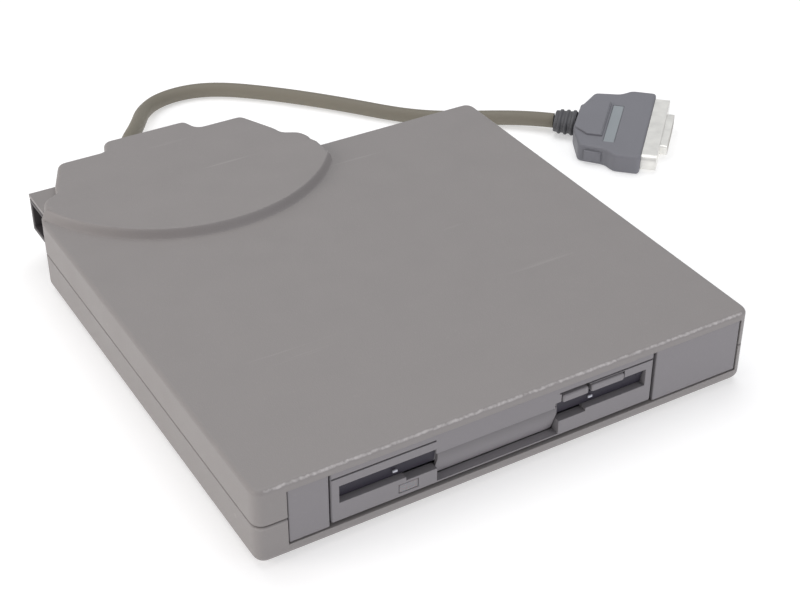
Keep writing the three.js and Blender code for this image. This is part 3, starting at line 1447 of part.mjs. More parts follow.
function plugShell() {
  const rise = shellHeight / 2;
  const outer = roundedRectangle(-shellHalf, shellHalf, plugMiddle - rise, plugMiddle + rise, shellCorner);
  const flange = alongPlug(outer, gap, shellDepth);
  const skirt = alongPlug(tongueOutline(0), shellDepth - overrun, tongueDepth);
  const mouth = alongPlug(tongueOutline(shellWall), gap * 2 + shellWall, tongueDepth + overrun);
  return join(flange, skirt).subtract(mouth);
}

function plugInsert() {
  const half = tongueHalf - shellWall * 2 - tongueTaper;
  const rise = tongueHeight / 2 - shellWall * 2;
  const x0 = gap * 3 + shellWall;
  const x1 = tongueDepth - shellWall * 2;
  const body = block(x0, x1, -half, half, plugMiddle - rise, plugMiddle + rise);
  const pitch = (half * 2) / contactCount;
  const contacts = Array.from({ length: contactCount }, (_, i) => {
    const y = -half + pitch * (i + 0.5);
    return block(x0 + shellWall, x1 - contactRise, y - contactWidth / 2, y + contactWidth / 2,
      plugMiddle - rise - contactRise, plugMiddle + rise + contactRise);
  });
  return join(body, contacts);
}
part("plug_hood", plugHood(), "plug", plug);
part("plug_relief", plugRelief(), "plug", plug);
part("plug_shell", plugShell(), "bright_metal", plug);
part("plug_insert", plugInsert(), "contact", plug);

export default group;
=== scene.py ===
"""The looks of an external floppy disk drive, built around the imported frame.

Every length is in metres. +X is right seen from the front, +Y is back and +Z is up.
"""

import math

import bmesh
import bpy
from mathutils import Matrix, Vector


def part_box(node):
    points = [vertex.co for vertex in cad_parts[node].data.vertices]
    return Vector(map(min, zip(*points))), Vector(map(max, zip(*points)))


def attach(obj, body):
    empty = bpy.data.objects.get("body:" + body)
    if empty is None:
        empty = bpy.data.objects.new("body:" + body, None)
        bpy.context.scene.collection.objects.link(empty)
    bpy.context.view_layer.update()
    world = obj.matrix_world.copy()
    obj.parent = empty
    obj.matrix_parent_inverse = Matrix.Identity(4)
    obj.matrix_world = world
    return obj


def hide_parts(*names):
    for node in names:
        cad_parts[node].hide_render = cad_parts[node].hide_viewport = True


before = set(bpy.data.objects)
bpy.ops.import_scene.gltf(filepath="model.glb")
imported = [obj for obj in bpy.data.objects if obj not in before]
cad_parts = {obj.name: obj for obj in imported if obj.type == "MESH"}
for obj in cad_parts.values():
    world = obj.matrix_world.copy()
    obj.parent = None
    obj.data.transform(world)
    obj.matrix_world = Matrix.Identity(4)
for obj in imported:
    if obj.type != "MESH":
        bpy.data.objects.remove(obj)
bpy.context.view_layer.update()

# Camera

CAMERA_PLACE = Vector((-0.1881, -0.34595, 0.2701))
CAMERA_RIGHT = Vector((0.86169, -0.50746, 0.0))
CAMERA_UP = Vector((0.28557, 0.48491, 0.82665))
CAMERA_LENS = 71.87
CAMERA_SENSOR = 36
CAMERA_NEAR = 0.01


def add_camera():
    data = bpy.data.cameras.new("camera")
    data.lens = CAMERA_LENS
    data.sensor_width = CAMERA_SENSOR
    data.clip_start = CAMERA_NEAR
    camera = bpy.data.objects.new("camera", data)
    back = CAMERA_RIGHT.cross(CAMERA_UP)
    turn = Matrix((CAMERA_RIGHT, CAMERA_UP, back)).transposed().to_4x4()
    camera.matrix_world = Matrix.Translation(CAMERA_PLACE) @ turn
    bpy.context.scene.collection.objects.link(camera)
    bpy.context.scene.camera = camera


add_camera()

# Colours

CASE_COLOUR = (142, 138, 137)
FRONT_COLOUR = (134, 131, 134)
# Painted shadow: the flap's sides inside the slot are painted this dark
PAINTED_SLOT_SHADOW_COLOUR = (46, 43, 54)
CABLE_COLOUR = (124, 119, 107)
HOOD_COLOUR = (126, 126, 132)
PLATE_COLOUR = (150, 156, 160)
SHELL_COLOUR = (250, 249, 244)
STEEL_COLOUR = (176, 178, 182)
BRASS_COLOUR = (186, 148, 84)
COPPER_COLOUR = (176, 104, 66)
RUBBER_COLOUR = (44, 44, 47)
BLACK_COLOUR = (74, 70, 72)
BOARD_COLOUR = (40, 88, 58)
WHITE_COLOUR = (214, 210, 200)
TAB_COLOUR = (190, 191, 200)
# The pale front edge: partly real wear, partly a painted highlight
WEAR_AND_HIGHLIGHT_COLOUR = (212, 208, 208)
MAGNET_COLOUR = (62, 62, 68)
RELIEF_COLOUR = (86, 86, 89)
CONTACT_COLOUR = (120, 104, 66)
FLOOR_WHITE = (0.68, 0.68, 0.68, 1.0)
FLOOR_GLOW = 0.68

# Sizes of surface detail
GRAIN_SIZE = 0.00035
GRAIN_DEPTH = GRAIN_SIZE * 0.3
SPECK_SIZE = GRAIN_SIZE * 3
STREAK_SIZE = GRAIN_SIZE * 2
STREAK_DEPTH = GRAIN_SIZE * 0.2
MOTTLE_SIZE = 0.012
SCRATCH_SIZE = 0.03
SCRATCH_STRETCH = (0.35, 9, 9)
EDGE_RADIUS = 0.00025
EDGE_SAMPLES = 4
# How far the pale front edge reaches: partly real wear, partly a painted highlight
WEAR_AND_HIGHLIGHT_REACH = 0.00076

# The noise at which each detail starts and the noise at which it is full
MOTTLE_RANGE = (0.3, 0.7)
SPECK_RANGE = (0.62, 0.8)
SCRATCH_RANGE = (0.66, 0.72)
PATCH_RANGE = (0.55, 0.75)
STAIN_RANGE = (0.35, 0.75)

# How strongly each detail shows, and its shade beside the plain colour
MOTTLE_DEPTH = 0.018
SPECK_SHARE = 0.12
SPECK_SHADE = 1.3
SCRATCH_SHADE = 1.5
STAIN_SHADES = (0.86, 1.04)
STREAK_STRENGTH = 0.15
# How strongly the pale front edge shows: partly real wear, partly a painted highlight
WEAR_AND_HIGHLIGHT_SHARE = 0.6
PLASTIC_SPECULAR = 0.4

# Where the wear and the painted highlight start and where they are full, as shares of their reach
WEAR_AND_HIGHLIGHT_FADE = (0.4, 0.2)

# How far the roughness strays from its stated value
PLASTIC_SPREAD = (-0.05, 0.07)
METAL_SPREAD = (-0.08, 0.12)

# Circuit boards: checks for each metre, and the shades of checks and lines
BOARD_CHECKS = 90.0
BOARD_SHADES = (0.8, 1.2, 1.7)
BOARD_LINE = 0.03
BOARD_ROUGHNESS = 0.35
BOARD_RELIEF_SIZE = GRAIN_SIZE * 4
BOARD_RELIEF = 0.1

# The lamp's window: faint clouds, and milky plastic that light goes into
LENS_CLOUD_SIZE = MOTTLE_SIZE / 6
LENS_ROUGHNESS = 0.22
LENS_MILK = 0.15
LENS_SCATTER = 0.001
LENS_RELIEF_SIZE = GRAIN_SIZE * 6
LENS_RELIEF = 0.08

# Places that the wear, the painted highlight and the painted shade follow: the case's top edge,
# and the flap as seen in the slot, painted darker under the bridge and lighter lower down
CASE_TOP = 0.024
case_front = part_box("upper_case")[0].y
flap_low, flap_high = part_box("dust_flap")
FLAP_SHARE = 0.385
BRIDGE_COVER = 0.0026
PAINTED_SHADE_UNDER_BRIDGE = 0.64
PAINTED_LIGHT_ABOVE_LEDGE = 1.35


def linear(colour):
    """An sRGB colour, 0 to 255, as a linear RGBA one."""
    shares = [c / 255 for c in colour]
    return [c / 12.92 if c <= 0.04045 else ((c + 0.055) / 1.055) ** 2.4 for c in shares] + [1.0]


# Materials


class Nodes:
    """A material's node tree, with short calls that add and join nodes."""

    def __init__(self, name):
        self.material = bpy.data.materials.new(name)
        self.material.use_nodes = True
        self.tree = self.material.node_tree
        self.shader = self.tree.nodes["Principled BSDF"]
        self.coordinates = self.add("ShaderNodeTexCoord").outputs["Object"]

    def add(self, kind, values=None, **settings):
        node = self.tree.nodes.new(kind)
        for key, value in settings.items():
            setattr(node, key, value)
        for key, value in (values or {}).items():
            if isinstance(value, bpy.types.NodeSocket):
                self.tree.links.new(value, node.inputs[key])
            else:
                node.inputs[key].default_value = value
        return node

    def link(self, source, target):
        self.tree.links.new(source, target)

    def noise(self, size, detail=2.0, stretch=(1, 1, 1)):
        """Noise whose features are about size wide."""
        mapping = self.add("ShaderNodeMapping", {"Vector": self.coordinates, "Scale": stretch})
        noise = self.add("ShaderNodeTexNoise", {
            "Vector": mapping.outputs["Vector"], "Scale": 1 / size, "Detail": detail})
        return noise.outputs["Fac"]

    def ramp(self, source, low, high):
        """Turns source, between low and high, into 0 to 1."""
        node = self.add("ShaderNodeMapRange", {
            "Value": source, "From Min": low, "From Max": high})
        return node.outputs["Result"]

    def mix(self, share, first, second):
        """Mixes two colours, whose sockets are 6, 7 and 2 in a mix node."""
        node = self.add("ShaderNodeMix", {0: share, 6: first, 7: second}, data_type="RGBA")
        return node.outputs[2]

    def maths(self, operation, *values):
        return self.add("ShaderNodeMath", dict(enumerate(values)), operation=operation).outputs[0]

    def times(self, source, factor):
        return self.maths("MULTIPLY", source, factor)

    def rough(self, source, middle, spread):
        """Lets the roughness follow source, from a little below its middle to a little above."""
        node = self.add("ShaderNodeMapRange", {
            "Value": source, "To Min": middle + spread[0], "To Max": middle + spread[1]})
        self.link(node.outputs["Result"], self.shader.inputs["Roughness"])

    def bump(self, height, distance, strength, normal=None):
        values = {"Height": height, "Distance": distance, "Strength": strength}
        if normal is not None:
            values["Normal"] = normal
        return self.add("ShaderNodeBump", values).outputs["Normal"]

    def edge_normal(self, radius):
        node = self.add("ShaderNodeBevel", {"Radius": radius}, samples=EDGE_SAMPLES)
        return node.outputs["Normal"]


def shaded(colour, factor):
    return [c * factor for c in linear(colour)[:3]] + [1.0]


def wear_and_highlight_front(nodes, body):
    """A pale, uneven line along the edge where the case's top meets its front: partly real wear,
    partly a painted highlight.
    """
    place = nodes.add("ShaderNodeSeparateXYZ", {"Vector": nodes.coordinates})
    away = nodes.maths("SUBTRACT", place.outputs["Y"], place.outputs["Z"])
    rough = nodes.times(nodes.noise(SPECK_SIZE, detail=3), WEAR_AND_HIGHLIGHT_REACH / 2)
    uneven = nodes.maths("ADD", away, rough)
    edge = case_front - CASE_TOP + WEAR_AND_HIGHLIGHT_REACH
    wear_and_highlight = nodes.ramp(uneven, *[edge + WEAR_AND_HIGHLIGHT_REACH * share for share in WEAR_AND_HIGHLIGHT_FADE])
    return nodes.mix(nodes.times(wear_and_highlight, WEAR_AND_HIGHLIGHT_SHARE), body, shaded(WEAR_AND_HIGHLIGHT_COLOUR, 1))


def painted_shade_in_slots(nodes, body):
    """Painted light on the flap: grey in its middle, painted shade under the bridge that fades to
    painted light lower down, and painted shadow to either side in the slot.
    """
    place = nodes.add("ShaderNodeSeparateXYZ", {"Vector": nodes.coordinates})
    # Painted shade under the bridge, fading to painted light lower down
    drop = nodes.ramp(place.outputs["Z"], flap_high.z - BRIDGE_COVER, flap_low.z)
    body = nodes.mix(drop, shaded(FRONT_COLOUR, PAINTED_SHADE_UNDER_BRIDGE), shaded(FRONT_COLOUR, PAINTED_LIGHT_ABOVE_LEDGE))
    middle = (flap_low.x + flap_high.x) / 2
    across = nodes.maths("ABSOLUTE", nodes.maths("SUBTRACT", place.outputs["X"], middle))
    tongue = (flap_high.x - flap_low.x) / 2 * FLAP_SHARE
    # Painted shadow on the flap's sides, outside its grey middle
    return nodes.mix(nodes.ramp(across, tongue, tongue + GRAIN_SIZE), body, shaded(PAINTED_SLOT_SHADOW_COLOUR, 1))


def plastic(name, colour, roughness, grain, scratches=0.0, edge=EDGE_RADIUS, over=None):
    """A moulded plastic: fine grain and faint mottling.

    If asked, it has light scratches, and over paints another colour on top of all.
    """
    nodes = Nodes(name)
    mottle = nodes.ramp(nodes.noise(MOTTLE_SIZE, detail=4), *MOTTLE_RANGE)
    body = nodes.mix(mottle, shaded(colour, 1 - MOTTLE_DEPTH), shaded(colour, 1 + MOTTLE_DEPTH))
    specks = nodes.ramp(nodes.noise(SPECK_SIZE, detail=1), *SPECK_RANGE)
    body = nodes.mix(nodes.times(specks, SPECK_SHARE), body, shaded(colour, SPECK_SHADE))
    if scratches:
        lines = nodes.ramp(nodes.noise(SCRATCH_SIZE, 3, SCRATCH_STRETCH), *SCRATCH_RANGE)
        patches = nodes.ramp(nodes.noise(SCRATCH_SIZE, detail=1), *PATCH_RANGE)
        marks = nodes.times(lines, patches)
        body = nodes.mix(nodes.times(marks, scratches), body, shaded(colour, SCRATCH_SHADE))
    if over:
        body = over(nodes, body)
    nodes.link(body, nodes.shader.inputs["Base Color"])
    nodes.rough(mottle, roughness, PLASTIC_SPREAD)
    nodes.shader.inputs["Specular IOR Level"].default_value = PLASTIC_SPECULAR
    rounded = nodes.edge_normal(edge) if edge else None
    grained = nodes.bump(nodes.noise(GRAIN_SIZE), GRAIN_DEPTH, grain, rounded)
    nodes.link(grained, nodes.shader.inputs["Normal"])
    return nodes.material


def metal(name, colour, roughness, brushed=(1, 1, 1), edge=0.0, metallic=1.0):
    """Pressed or turned metal: streaks along one way, small stains and, if asked, a soft edge."""
    nodes = Nodes(name)
    streaks = nodes.noise(STREAK_SIZE, 3, brushed)
    stains = nodes.ramp(nodes.noise(MOTTLE_SIZE / 2, detail=3), *STAIN_RANGE)
    body = nodes.mix(stains, *[shaded(colour, factor) for factor in STAIN_SHADES])
    nodes.link(body, nodes.shader.inputs["Base Color"])
    nodes.shader.inputs["Metallic"].default_value = metallic
    nodes.rough(streaks, roughness, METAL_SPREAD)
    rounded = nodes.edge_normal(edge) if edge else None
    brushing = nodes.bump(streaks, STREAK_DEPTH, STREAK_STRENGTH, rounded)
    nodes.link(brushing, nodes.shader.inputs["Normal"])
    return nodes.material


def circuit_board(name):
    """Green solder resist with darker and lighter tracks under it."""
    nodes = Nodes(name)
    dark, light, line = [shaded(BOARD_COLOUR, factor) for factor in BOARD_SHADES]
    checks = nodes.add("ShaderNodeTexBrick", {
        "Vector": nodes.coordinates, "Scale": BOARD_CHECKS, "Color1": dark, "Color2": light,
        "Mortar": line, "Mortar Size": BOARD_LINE})
    nodes.link(checks.outputs["Color"], nodes.shader.inputs["Base Color"])
    nodes.shader.inputs["Roughness"].default_value = BOARD_ROUGHNESS
    relief = nodes.bump(nodes.noise(BOARD_RELIEF_SIZE), GRAIN_SIZE, BOARD_RELIEF)
    nodes.link(relief, nodes.shader.inputs["Normal"])
    return nodes.material


def clear_lens(name):
    """The window in front of the lamp, as grey as the front but smoother."""
    nodes = Nodes(name)
    cloud = nodes.ramp(nodes.noise(LENS_CLOUD_SIZE), *MOTTLE_RANGE)
    body = nodes.mix(
        cloud, shaded(FRONT_COLOUR, 1 - MOTTLE_DEPTH), shaded(FRONT_COLOUR, 1 + MOTTLE_DEPTH))
    nodes.link(body, nodes.shader.inputs["Base Color"])
    nodes.shader.inputs["Roughness"].default_value = LENS_ROUGHNESS
    nodes.shader.inputs["Subsurface Weight"].default_value = LENS_MILK
    nodes.shader.inputs["Subsurface Scale"].default_value = LENS_SCATTER
    relief = nodes.bump(nodes.noise(LENS_RELIEF_SIZE), GRAIN_SIZE, LENS_RELIEF)
    nodes.link(relief, nodes.shader.inputs["Normal"])
    return nodes.material


def paper(name):
    """The plain white sheet that everything stands on."""
    nodes = Nodes(name)
    nodes.shader.inputs["Base Color"].default_value = FLOOR_WHITE
    nodes.shader.inputs["Roughness"].default_value = 1.0
    nodes.shader.inputs["Specular IOR Level"].default_value = 0.0
    nodes.shader.inputs["Emission Color"].default_value = FLOOR_WHITE
    nodes.shader.inputs["Emission Strength"].default_value = FLOOR_GLOW
    return nodes.material


looks = {
    "case": plastic("case_plastic", CASE_COLOUR, roughness=0.5, grain=0.45, scratches=0.5,
                    over=wear_and_highlight_front),
    "front": plastic("front_plastic", FRONT_COLOUR, roughness=0.5, grain=0.3),
    "flap": plastic("flap_plastic", FRONT_COLOUR, roughness=0.55, grain=0.25, over=painted_shade_in_slots),
    "cable": plastic("cable_jacket", CABLE_COLOUR, roughness=0.6, grain=0.2, edge=0.0),
    "relief": plastic("relief_plastic", RELIEF_COLOUR, roughness=0.55, grain=0.25),
    "gland": plastic("gland_plastic", CABLE_COLOUR, roughness=0.55, grain=0.25),
    "hood": plastic("hood_plastic", HOOD_COLOUR, roughness=0.5, grain=0.5),
    "plate": plastic("plate_plastic", PLATE_COLOUR, roughness=0.42, grain=0.2),
    "insert": plastic("insert_plastic", CONTACT_COLOUR, roughness=0.45, grain=0.2),
    "white": plastic("white_plastic", WHITE_COLOUR, roughness=0.5, grain=0.2),
    "tab": plastic("tab_plastic", TAB_COLOUR, roughness=0.5, grain=0.2),
    "black": plastic("black_plastic", BLACK_COLOUR, roughness=0.5, grain=0.3),
    "rubber": plastic("foot_rubber", RUBBER_COLOUR, roughness=0.85, grain=0.5),
    "magnet": plastic("magnet_ceramic", MAGNET_COLOUR, roughness=0.45, grain=0.25),
    "shell": metal("plated_shell", SHELL_COLOUR, roughness=0.34, edge=EDGE_RADIUS, metallic=0.35),
    "steel": metal("pressed_steel", STEEL_COLOUR, roughness=0.34, brushed=(0.2, 1, 1)),
    "zinc": metal("plated_screws", STEEL_COLOUR, roughness=0.38, brushed=(1, 1, 0.3),
                  edge=EDGE_RADIUS / 2),
    "brass": metal("turned_brass", BRASS_COLOUR, roughness=0.3, brushed=(1, 0.2, 1)),
    "copper": metal("wound_copper", COPPER_COLOUR, roughness=0.36, brushed=(1, 1, 4)),
    "board": circuit_board("circuit_board"),
    "lens": clear_lens("lamp_window"),
    "floor": paper("floor_paper"),
}

# Making meshes

# Angles in degrees: corners that stay sharp, edges that get a bevel, faces that count as one
SHARP_ANGLE = 35
BEVEL_ANGLE = 30
FLAT_ANGLE = 2

# Closer points are one point, and a smaller radius is a point on the axis
SAME_POINT = 1e-6
ON_AXIS = 1e-9

# A rounded corner takes at most the side's length divided by this
SIDE_SHARE = 2.2

# A sharp corner is drawn in by at most the inset divided by this
LEAST_LEAN = 0.4


def add_piece(name, bm, look, body, nodes=()):
    """Turns a bmesh into a piece that rides on a body and stands for CAD nodes."""
    bmesh.ops.recalc_face_normals(bm, faces=bm.faces)
    mesh = bpy.data.meshes.new(name)
    bm.to_mesh(mesh)
    bm.free()
    piece = bpy.data.objects.new(name, mesh)
    bpy.context.scene.collection.objects.link(piece)
    piece.data.materials.append(looks[look])
    if body:
        settle(piece, body, nodes)
    return piece


def settle(piece, body, nodes=()):
    """Sets what the piece rides on, which CAD nodes it replaces."""
    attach(piece, body)
    if nodes:
        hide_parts(*nodes)


def shade(piece, angle=SHARP_ANGLE, bevel=0.0, segments=2):
    """Smooth shading with sharp corners kept, and a real bevel where one is asked for."""
    if bevel:
        modifier = piece.modifiers.new("bevel", "BEVEL")
        modifier.width = bevel
        modifier.segments = segments
        modifier.limit_method = "ANGLE"
        modifier.angle_limit = math.radians(BEVEL_ANGLE)
        bake(piece)
    piece.data.shade_smooth()
    piece.data.set_sharp_from_angle(angle=math.radians(angle))
    weighted = piece.modifiers.new("weighted", "WEIGHTED_NORMAL")
    weighted.keep_sharp = True
    return piece


def bake(piece):
    """Applies the piece's modifiers to its mesh."""
    graph = bpy.context.evaluated_depsgraph_get()
    mesh = bpy.data.meshes.new_from_object(piece.evaluated_get(graph))
    old = piece.data
    piece.modifiers.clear()
    piece.data = mesh
    bpy.data.meshes.remove(old)


def carve(piece, bm, operation="DIFFERENCE"):
    """Cuts, joins or trims the piece with a bmesh solid."""
    tool = add_piece("tool", bm, "case", None)
    modifier = piece.modifiers.new("carve", "BOOLEAN")
    modifier.object = tool
    modifier.operation = operation
    modifier.solver = "EXACT"
    bake(piece)
    mesh = tool.data
    bpy.data.objects.remove(tool)
    bpy.data.meshes.remove(mesh)
    return piece


def rounded(points, reach, steps=6):
    """A closed outline with each corner turned by a quadratic curve that reaches along its sides.

    The reach is one length, or a list with one for each corner.
    """
    corners = [Vector(p) for p in points]
    reaches = reach if isinstance(reach, list) else [reach] * len(corners)
    found = []
    for i, corner in enumerate(corners):
        before, after = corners[i - 1], corners[(i + 1) % len(corners)]
        near = min(reaches[i], (corner - before).length / SIDE_SHARE,
                   (corner - after).length / SIDE_SHARE)
        entry = corner + (before - corner).normalized() * near
        leave = corner + (after - corner).normalized() * near
        for k in range(steps + 1):
            t = k / steps
            found.append(entry * (1 - t) ** 2 + corner * 2 * t * (1 - t) + leave * t * t)
    return found


def drawn_in(outline, inset):
    """The outline, counter-clockwise, with each side moved inwards."""
    found = []
    for i, point in enumerate(outline):
        first = (point - outline[i - 1]).normalized()
        second = (outline[(i + 1) % len(outline)] - point).normalized()
        inward = Vector((-first.y, first.x)) + Vector((-second.y, second.x))
        inward.normalize()
        lean = max(LEAST_LEAN, inward.dot(Vector((-first.y, first.x))))
        found.append(point + inward * (inset / lean))
    return found


def loft(rings, turn=None):
    """A closed solid through rings of 3D points with the same count."""
    bm = bmesh.new()
    turn = turn or Matrix.Identity(4)
    rows = [[bm.verts.new(turn @ Vector(p)) for p in ring] for ring in rings]
    for low, high in zip(rows, rows[1:]):
        for i in range(len(low)):
            j = (i + 1) % len(low)
            bm.faces.new((low[i], low[j], high[j], high[i]))
    bm.faces.new(reversed(rows[0]))
    bm.faces.new(rows[-1])
    return bm


def prism(outline, levels, turn=None):
    """A solid whose outline is drawn in by an inset at each height."""
    rings = [[(p.x, p.y, z) for p in drawn_in(outline, inset)] for inset, z in levels]
    return loft(rings, turn)


def fillet(z_edge, z_side, radius, steps=6):
    """Levels of a rounded edge, from the face at z_edge to the side at z_side."""
    way = 1 if z_side > z_edge else -1
    found = []
    for k in range(steps + 1):
        angle = math.pi / 2 * k / steps
        inset = radius * (1 - math.sin(angle))
        found.append((inset, z_edge + way * radius * (1 - math.cos(angle))))
    return found


def box_solid(low, high):
    outline = [Vector((low[0], low[1])), Vector((high[0], low[1])),
               Vector((high[0], high[1])), Vector((low[0], high[1]))]
    return prism(outline, [(0, low[2]), (0, high[2])])


def revolve(profile, turn, sides):
    """A solid of revolution about the local Z: profile is radius and height, ends on the axis."""
    bm = bmesh.new()
    rows = []
    for radius, height in profile:
        if radius < ON_AXIS:
            rows.append([bm.verts.new(turn @ Vector((0, 0, height)))])
            continue
        rows.append([bm.verts.new(turn @ Vector((
            radius * math.cos(2 * math.pi * i / sides),
            radius * math.sin(2 * math.pi * i / sides), height))) for i in range(sides)])
    for low, high in zip(rows, rows[1:]):
        for i in range(sides):
            j = (i + 1) % sides
            corners = [low[i % len(low)], low[j % len(low)],
                       high[j % len(high)], high[i % len(high)]]
            corners = [c for n, c in enumerate(corners) if c not in corners[:n]]
            bm.faces.new(corners)
    return bm


def along(place, way):
    """The turn that takes local Z to a way in the row frame, at a place."""
    turn = Vector((0, 0, 1)).rotation_difference(Vector(way))
    return Matrix.Translation(Vector(place)) @ turn.to_matrix().to_4x4()


def refined(node, look, body, bevel, segments, slot):
    """A piece made from a CAD node's own faces: flat faces made whole and edges rounded."""
    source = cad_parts[node]
    bm = bmesh.new()
    bm.from_mesh(source.data)
    bmesh.ops.remove_doubles(bm, verts=bm.verts, dist=SAME_POINT)
    bmesh.ops.dissolve_limit(
        bm, angle_limit=math.radians(FLAT_ANGLE), verts=bm.verts, edges=bm.edges)
    piece = add_piece(node + "_look", bm, look, body, [node])
    return shade(piece, bevel=bevel, segments=segments)


def melted(piece):
    """The piece's mesh as a bmesh solid. The piece itself is removed."""
    bm = bmesh.new()
    bm.from_mesh(piece.data)
    bpy.data.objects.remove(piece)
    return bm


# The cable and the plug

# The cable's route in millimetres, from the housing to the plug
ROUTE = [Vector(p) / 1000 for p in (
    (-28.5, 104.15, 11.5), (-27.0, 108.3, 11.3), (-24.2, 112.8, 10.8), (-20.9, 117.6, 9.9),
    (-17.5, 123.2, 8.7), (-14.2, 129.2, 7.3), (-10.8, 136.0, 5.6), (-7.0, 141.5, 4.0),
    (-2.2, 146.8, 3.0), (4.0, 149.4, 2.7), (11.0, 149.9, 2.7), (18.0, 148.4, 2.7),
    (24.4, 145.1, 2.7), (30.2, 140.6, 2.7), (35.6, 135.6, 2.7), (41.0, 130.3, 2.7),
    (46.5, 124.4, 2.7), (51.8, 118.4, 2.7), (56.8, 112.4, 2.7), (61.7, 106.3, 2.7),
    (66.2, 100.3, 2.7), (70.9, 94.6, 2.7), (76.1, 89.4, 2.7), (81.9, 85.0, 2.7),
    (88.2, 81.2, 2.7), (94.6, 77.6, 2.8), (100.6, 73.5, 3.1), (106.4, 68.8, 3.6),
    (111.85, 63.68, 3.9), (114.74, 60.85, 3.9))]
CABLE_DIAMETER = 0.0052
CABLE_SIDES = 24
ROUTE_STEPS = 6
ROUTE_SMOOTHING = 30

PLUG_PLACE = Vector((0.1386, 0.0374, 0))
PLUG_ANGLE = -44.5
PLUG_HALF = 0.0248
PLUG_BACK_HALF = 0.02
PLUG_LENGTH = 0.0218
PLUG_THICKNESS = 0.0066
PLUG_TAPER_LENGTH = 0.0036
PLUG_TAPER_HALF = 0.008
PLUG_GRIP_START = 0.009
PLUG_GRIP_END = 0.0126
PLUG_GRIP_DEPTH = 0.0036
PLUG_FILLET = 0.0016
PLUG_EDGE = 0.0009
BOSS_HALF = 0.013
BOSS_LENGTH = 0.011
BOSS_RISE = 0.0008
PAD_START = 0.0134
PAD_END = 0.0196
PAD_RISE = 0.0008
PAD_LOW = PLUG_THICKNESS * 0.2
PAD_HIGH = PLUG_THICKNESS * 0.75
PLATE_START = 0.01
PLATE_END = 0.014
PLATE_NEAR = -0.016
PLATE_FAR = 0.0118
PLATE_DEPTH = 0.0003
RELIEF_HALF = 0.0066
RELIEF_RISE = 0.0039
RELIEF_LENGTH = 0.0072
RELIEF_RIBS = 3
RELIEF_TAPER = 0.94
RIB_GROOVE = 0.0008
RIB_SHARE = 0.62
RIB_STEPS = 6
RIB_ANGLE = 50
SHELL_HALF = 0.0226
SHELL_HEIGHT = 0.0056
SHELL_DEPTH = 0.0053
SHELL_WALL = 0.0005
SHELL_CORNER = 0.0022
TONGUE_HALF = 0.0126
TONGUE_HEIGHT = 0.0042
TONGUE_DEPTH = 0.0079
TONGUE_TAPER = 0.0012
TONGUE_CORNER = 0.0012
MOUTH_CORNER = 0.0009
PLUG_INSERT_BEVEL = 0.00006
CAD_GAP = 0.0003
RELIEF_TIP = RELIEF_LENGTH + CAD_GAP * 0.9
OVERRUN = 0.001

# The gland's ribs, and its sizes as shares of its flange's radius
GLAND_RIBS = 6
GLAND_ROOT = 0.81
GLAND_TIP = 0.61
GLAND_FLANGE = 0.22

# Sides of the round pieces and holes
GLAND_SIDES = 48
FOOT_SIDES = 48
RELIEF_SIDES = 40
GLAND_HOLE_SIDES = 40
PIT_SIDES = 32
SCREW_SIDES = 32
HUMP_SIDES = 160

plug_turn = Matrix.Translation(PLUG_PLACE) @ Matrix.Rotation(math.radians(PLUG_ANGLE), 4, "Z")


def smooth_route(points, steps):
    """Points on a smooth curve along the route, close enough together to have its length."""
    found = []
    last = len(points) - 1
    for i in range(last):
        p0, p1 = points[max(i - 1, 0)], points[i]
        p2, p3 = points[i + 1], points[min(i + 2, last)]
        for k in range(steps):
            t = k / steps
            found.append(0.5 * (
                2 * p1 + (p2 - p0) * t + (2 * p0 - 5 * p1 + 4 * p2 - p3) * t * t
                + (3 * p1 - p0 - 3 * p2 + p3) * t ** 3))
    found.append(points[last])
    for _ in range(ROUTE_SMOOTHING):
        inner = [(a + b * 2 + c) / 4 for a, b, c in zip(found, found[1:], found[2:])]
        found = [found[0]] + inner + [found[-1]]
    return found


def tube(path, radius, sides):
    """A closed round tube along a path, with rings that turn as little as they can."""
    rings = []
    side = Vector((1, 0, 0))
    for i, point in enumerate(path):
        way = (path[min(i + 1, len(path) - 1)] - path[max(i - 1, 0)]).normalized()
        side = (side - way * side.dot(way)).normalized()
        up = way.cross(side)
        rings.append([point + radius * (side * math.cos(2 * math.pi * k / sides)
                                        + up * math.sin(2 * math.pi * k / sides))
                      for k in range(sides)])
    return loft(rings)


def ribbed_profile(start, length, root, tip, ribs):
    """Radius and height of a tapered sleeve with rounded ribs, after start."""
    found = []
    pitch = length / ribs
    for i in range(ribs):
        low = start + pitch * i
        radius = root + (tip - root) * (i + 0.5) / ribs
        rise = pitch * RIB_SHARE
        for k in range(RIB_STEPS + 1):
            depth = RIB_GROOVE * (1 - math.sin(math.pi * k / RIB_STEPS) ** 0.5)
            found.append((radius - depth, low + rise * k / RIB_STEPS))
        found.append((radius - RIB_GROOVE, low + rise + (pitch - rise) * 0.5))
    return found


def add_cable():
    path = smooth_route(ROUTE, ROUTE_STEPS)
    jacket = tube(path, CABLE_DIAMETER / 2, CABLE_SIDES)
    cable = add_piece("cable_jacket", jacket, "cable", "case", ["cable"])
    shade(cable)
    length = sum((b - a).length for a, b in zip(path, path[1:]))
    return cable, path, length


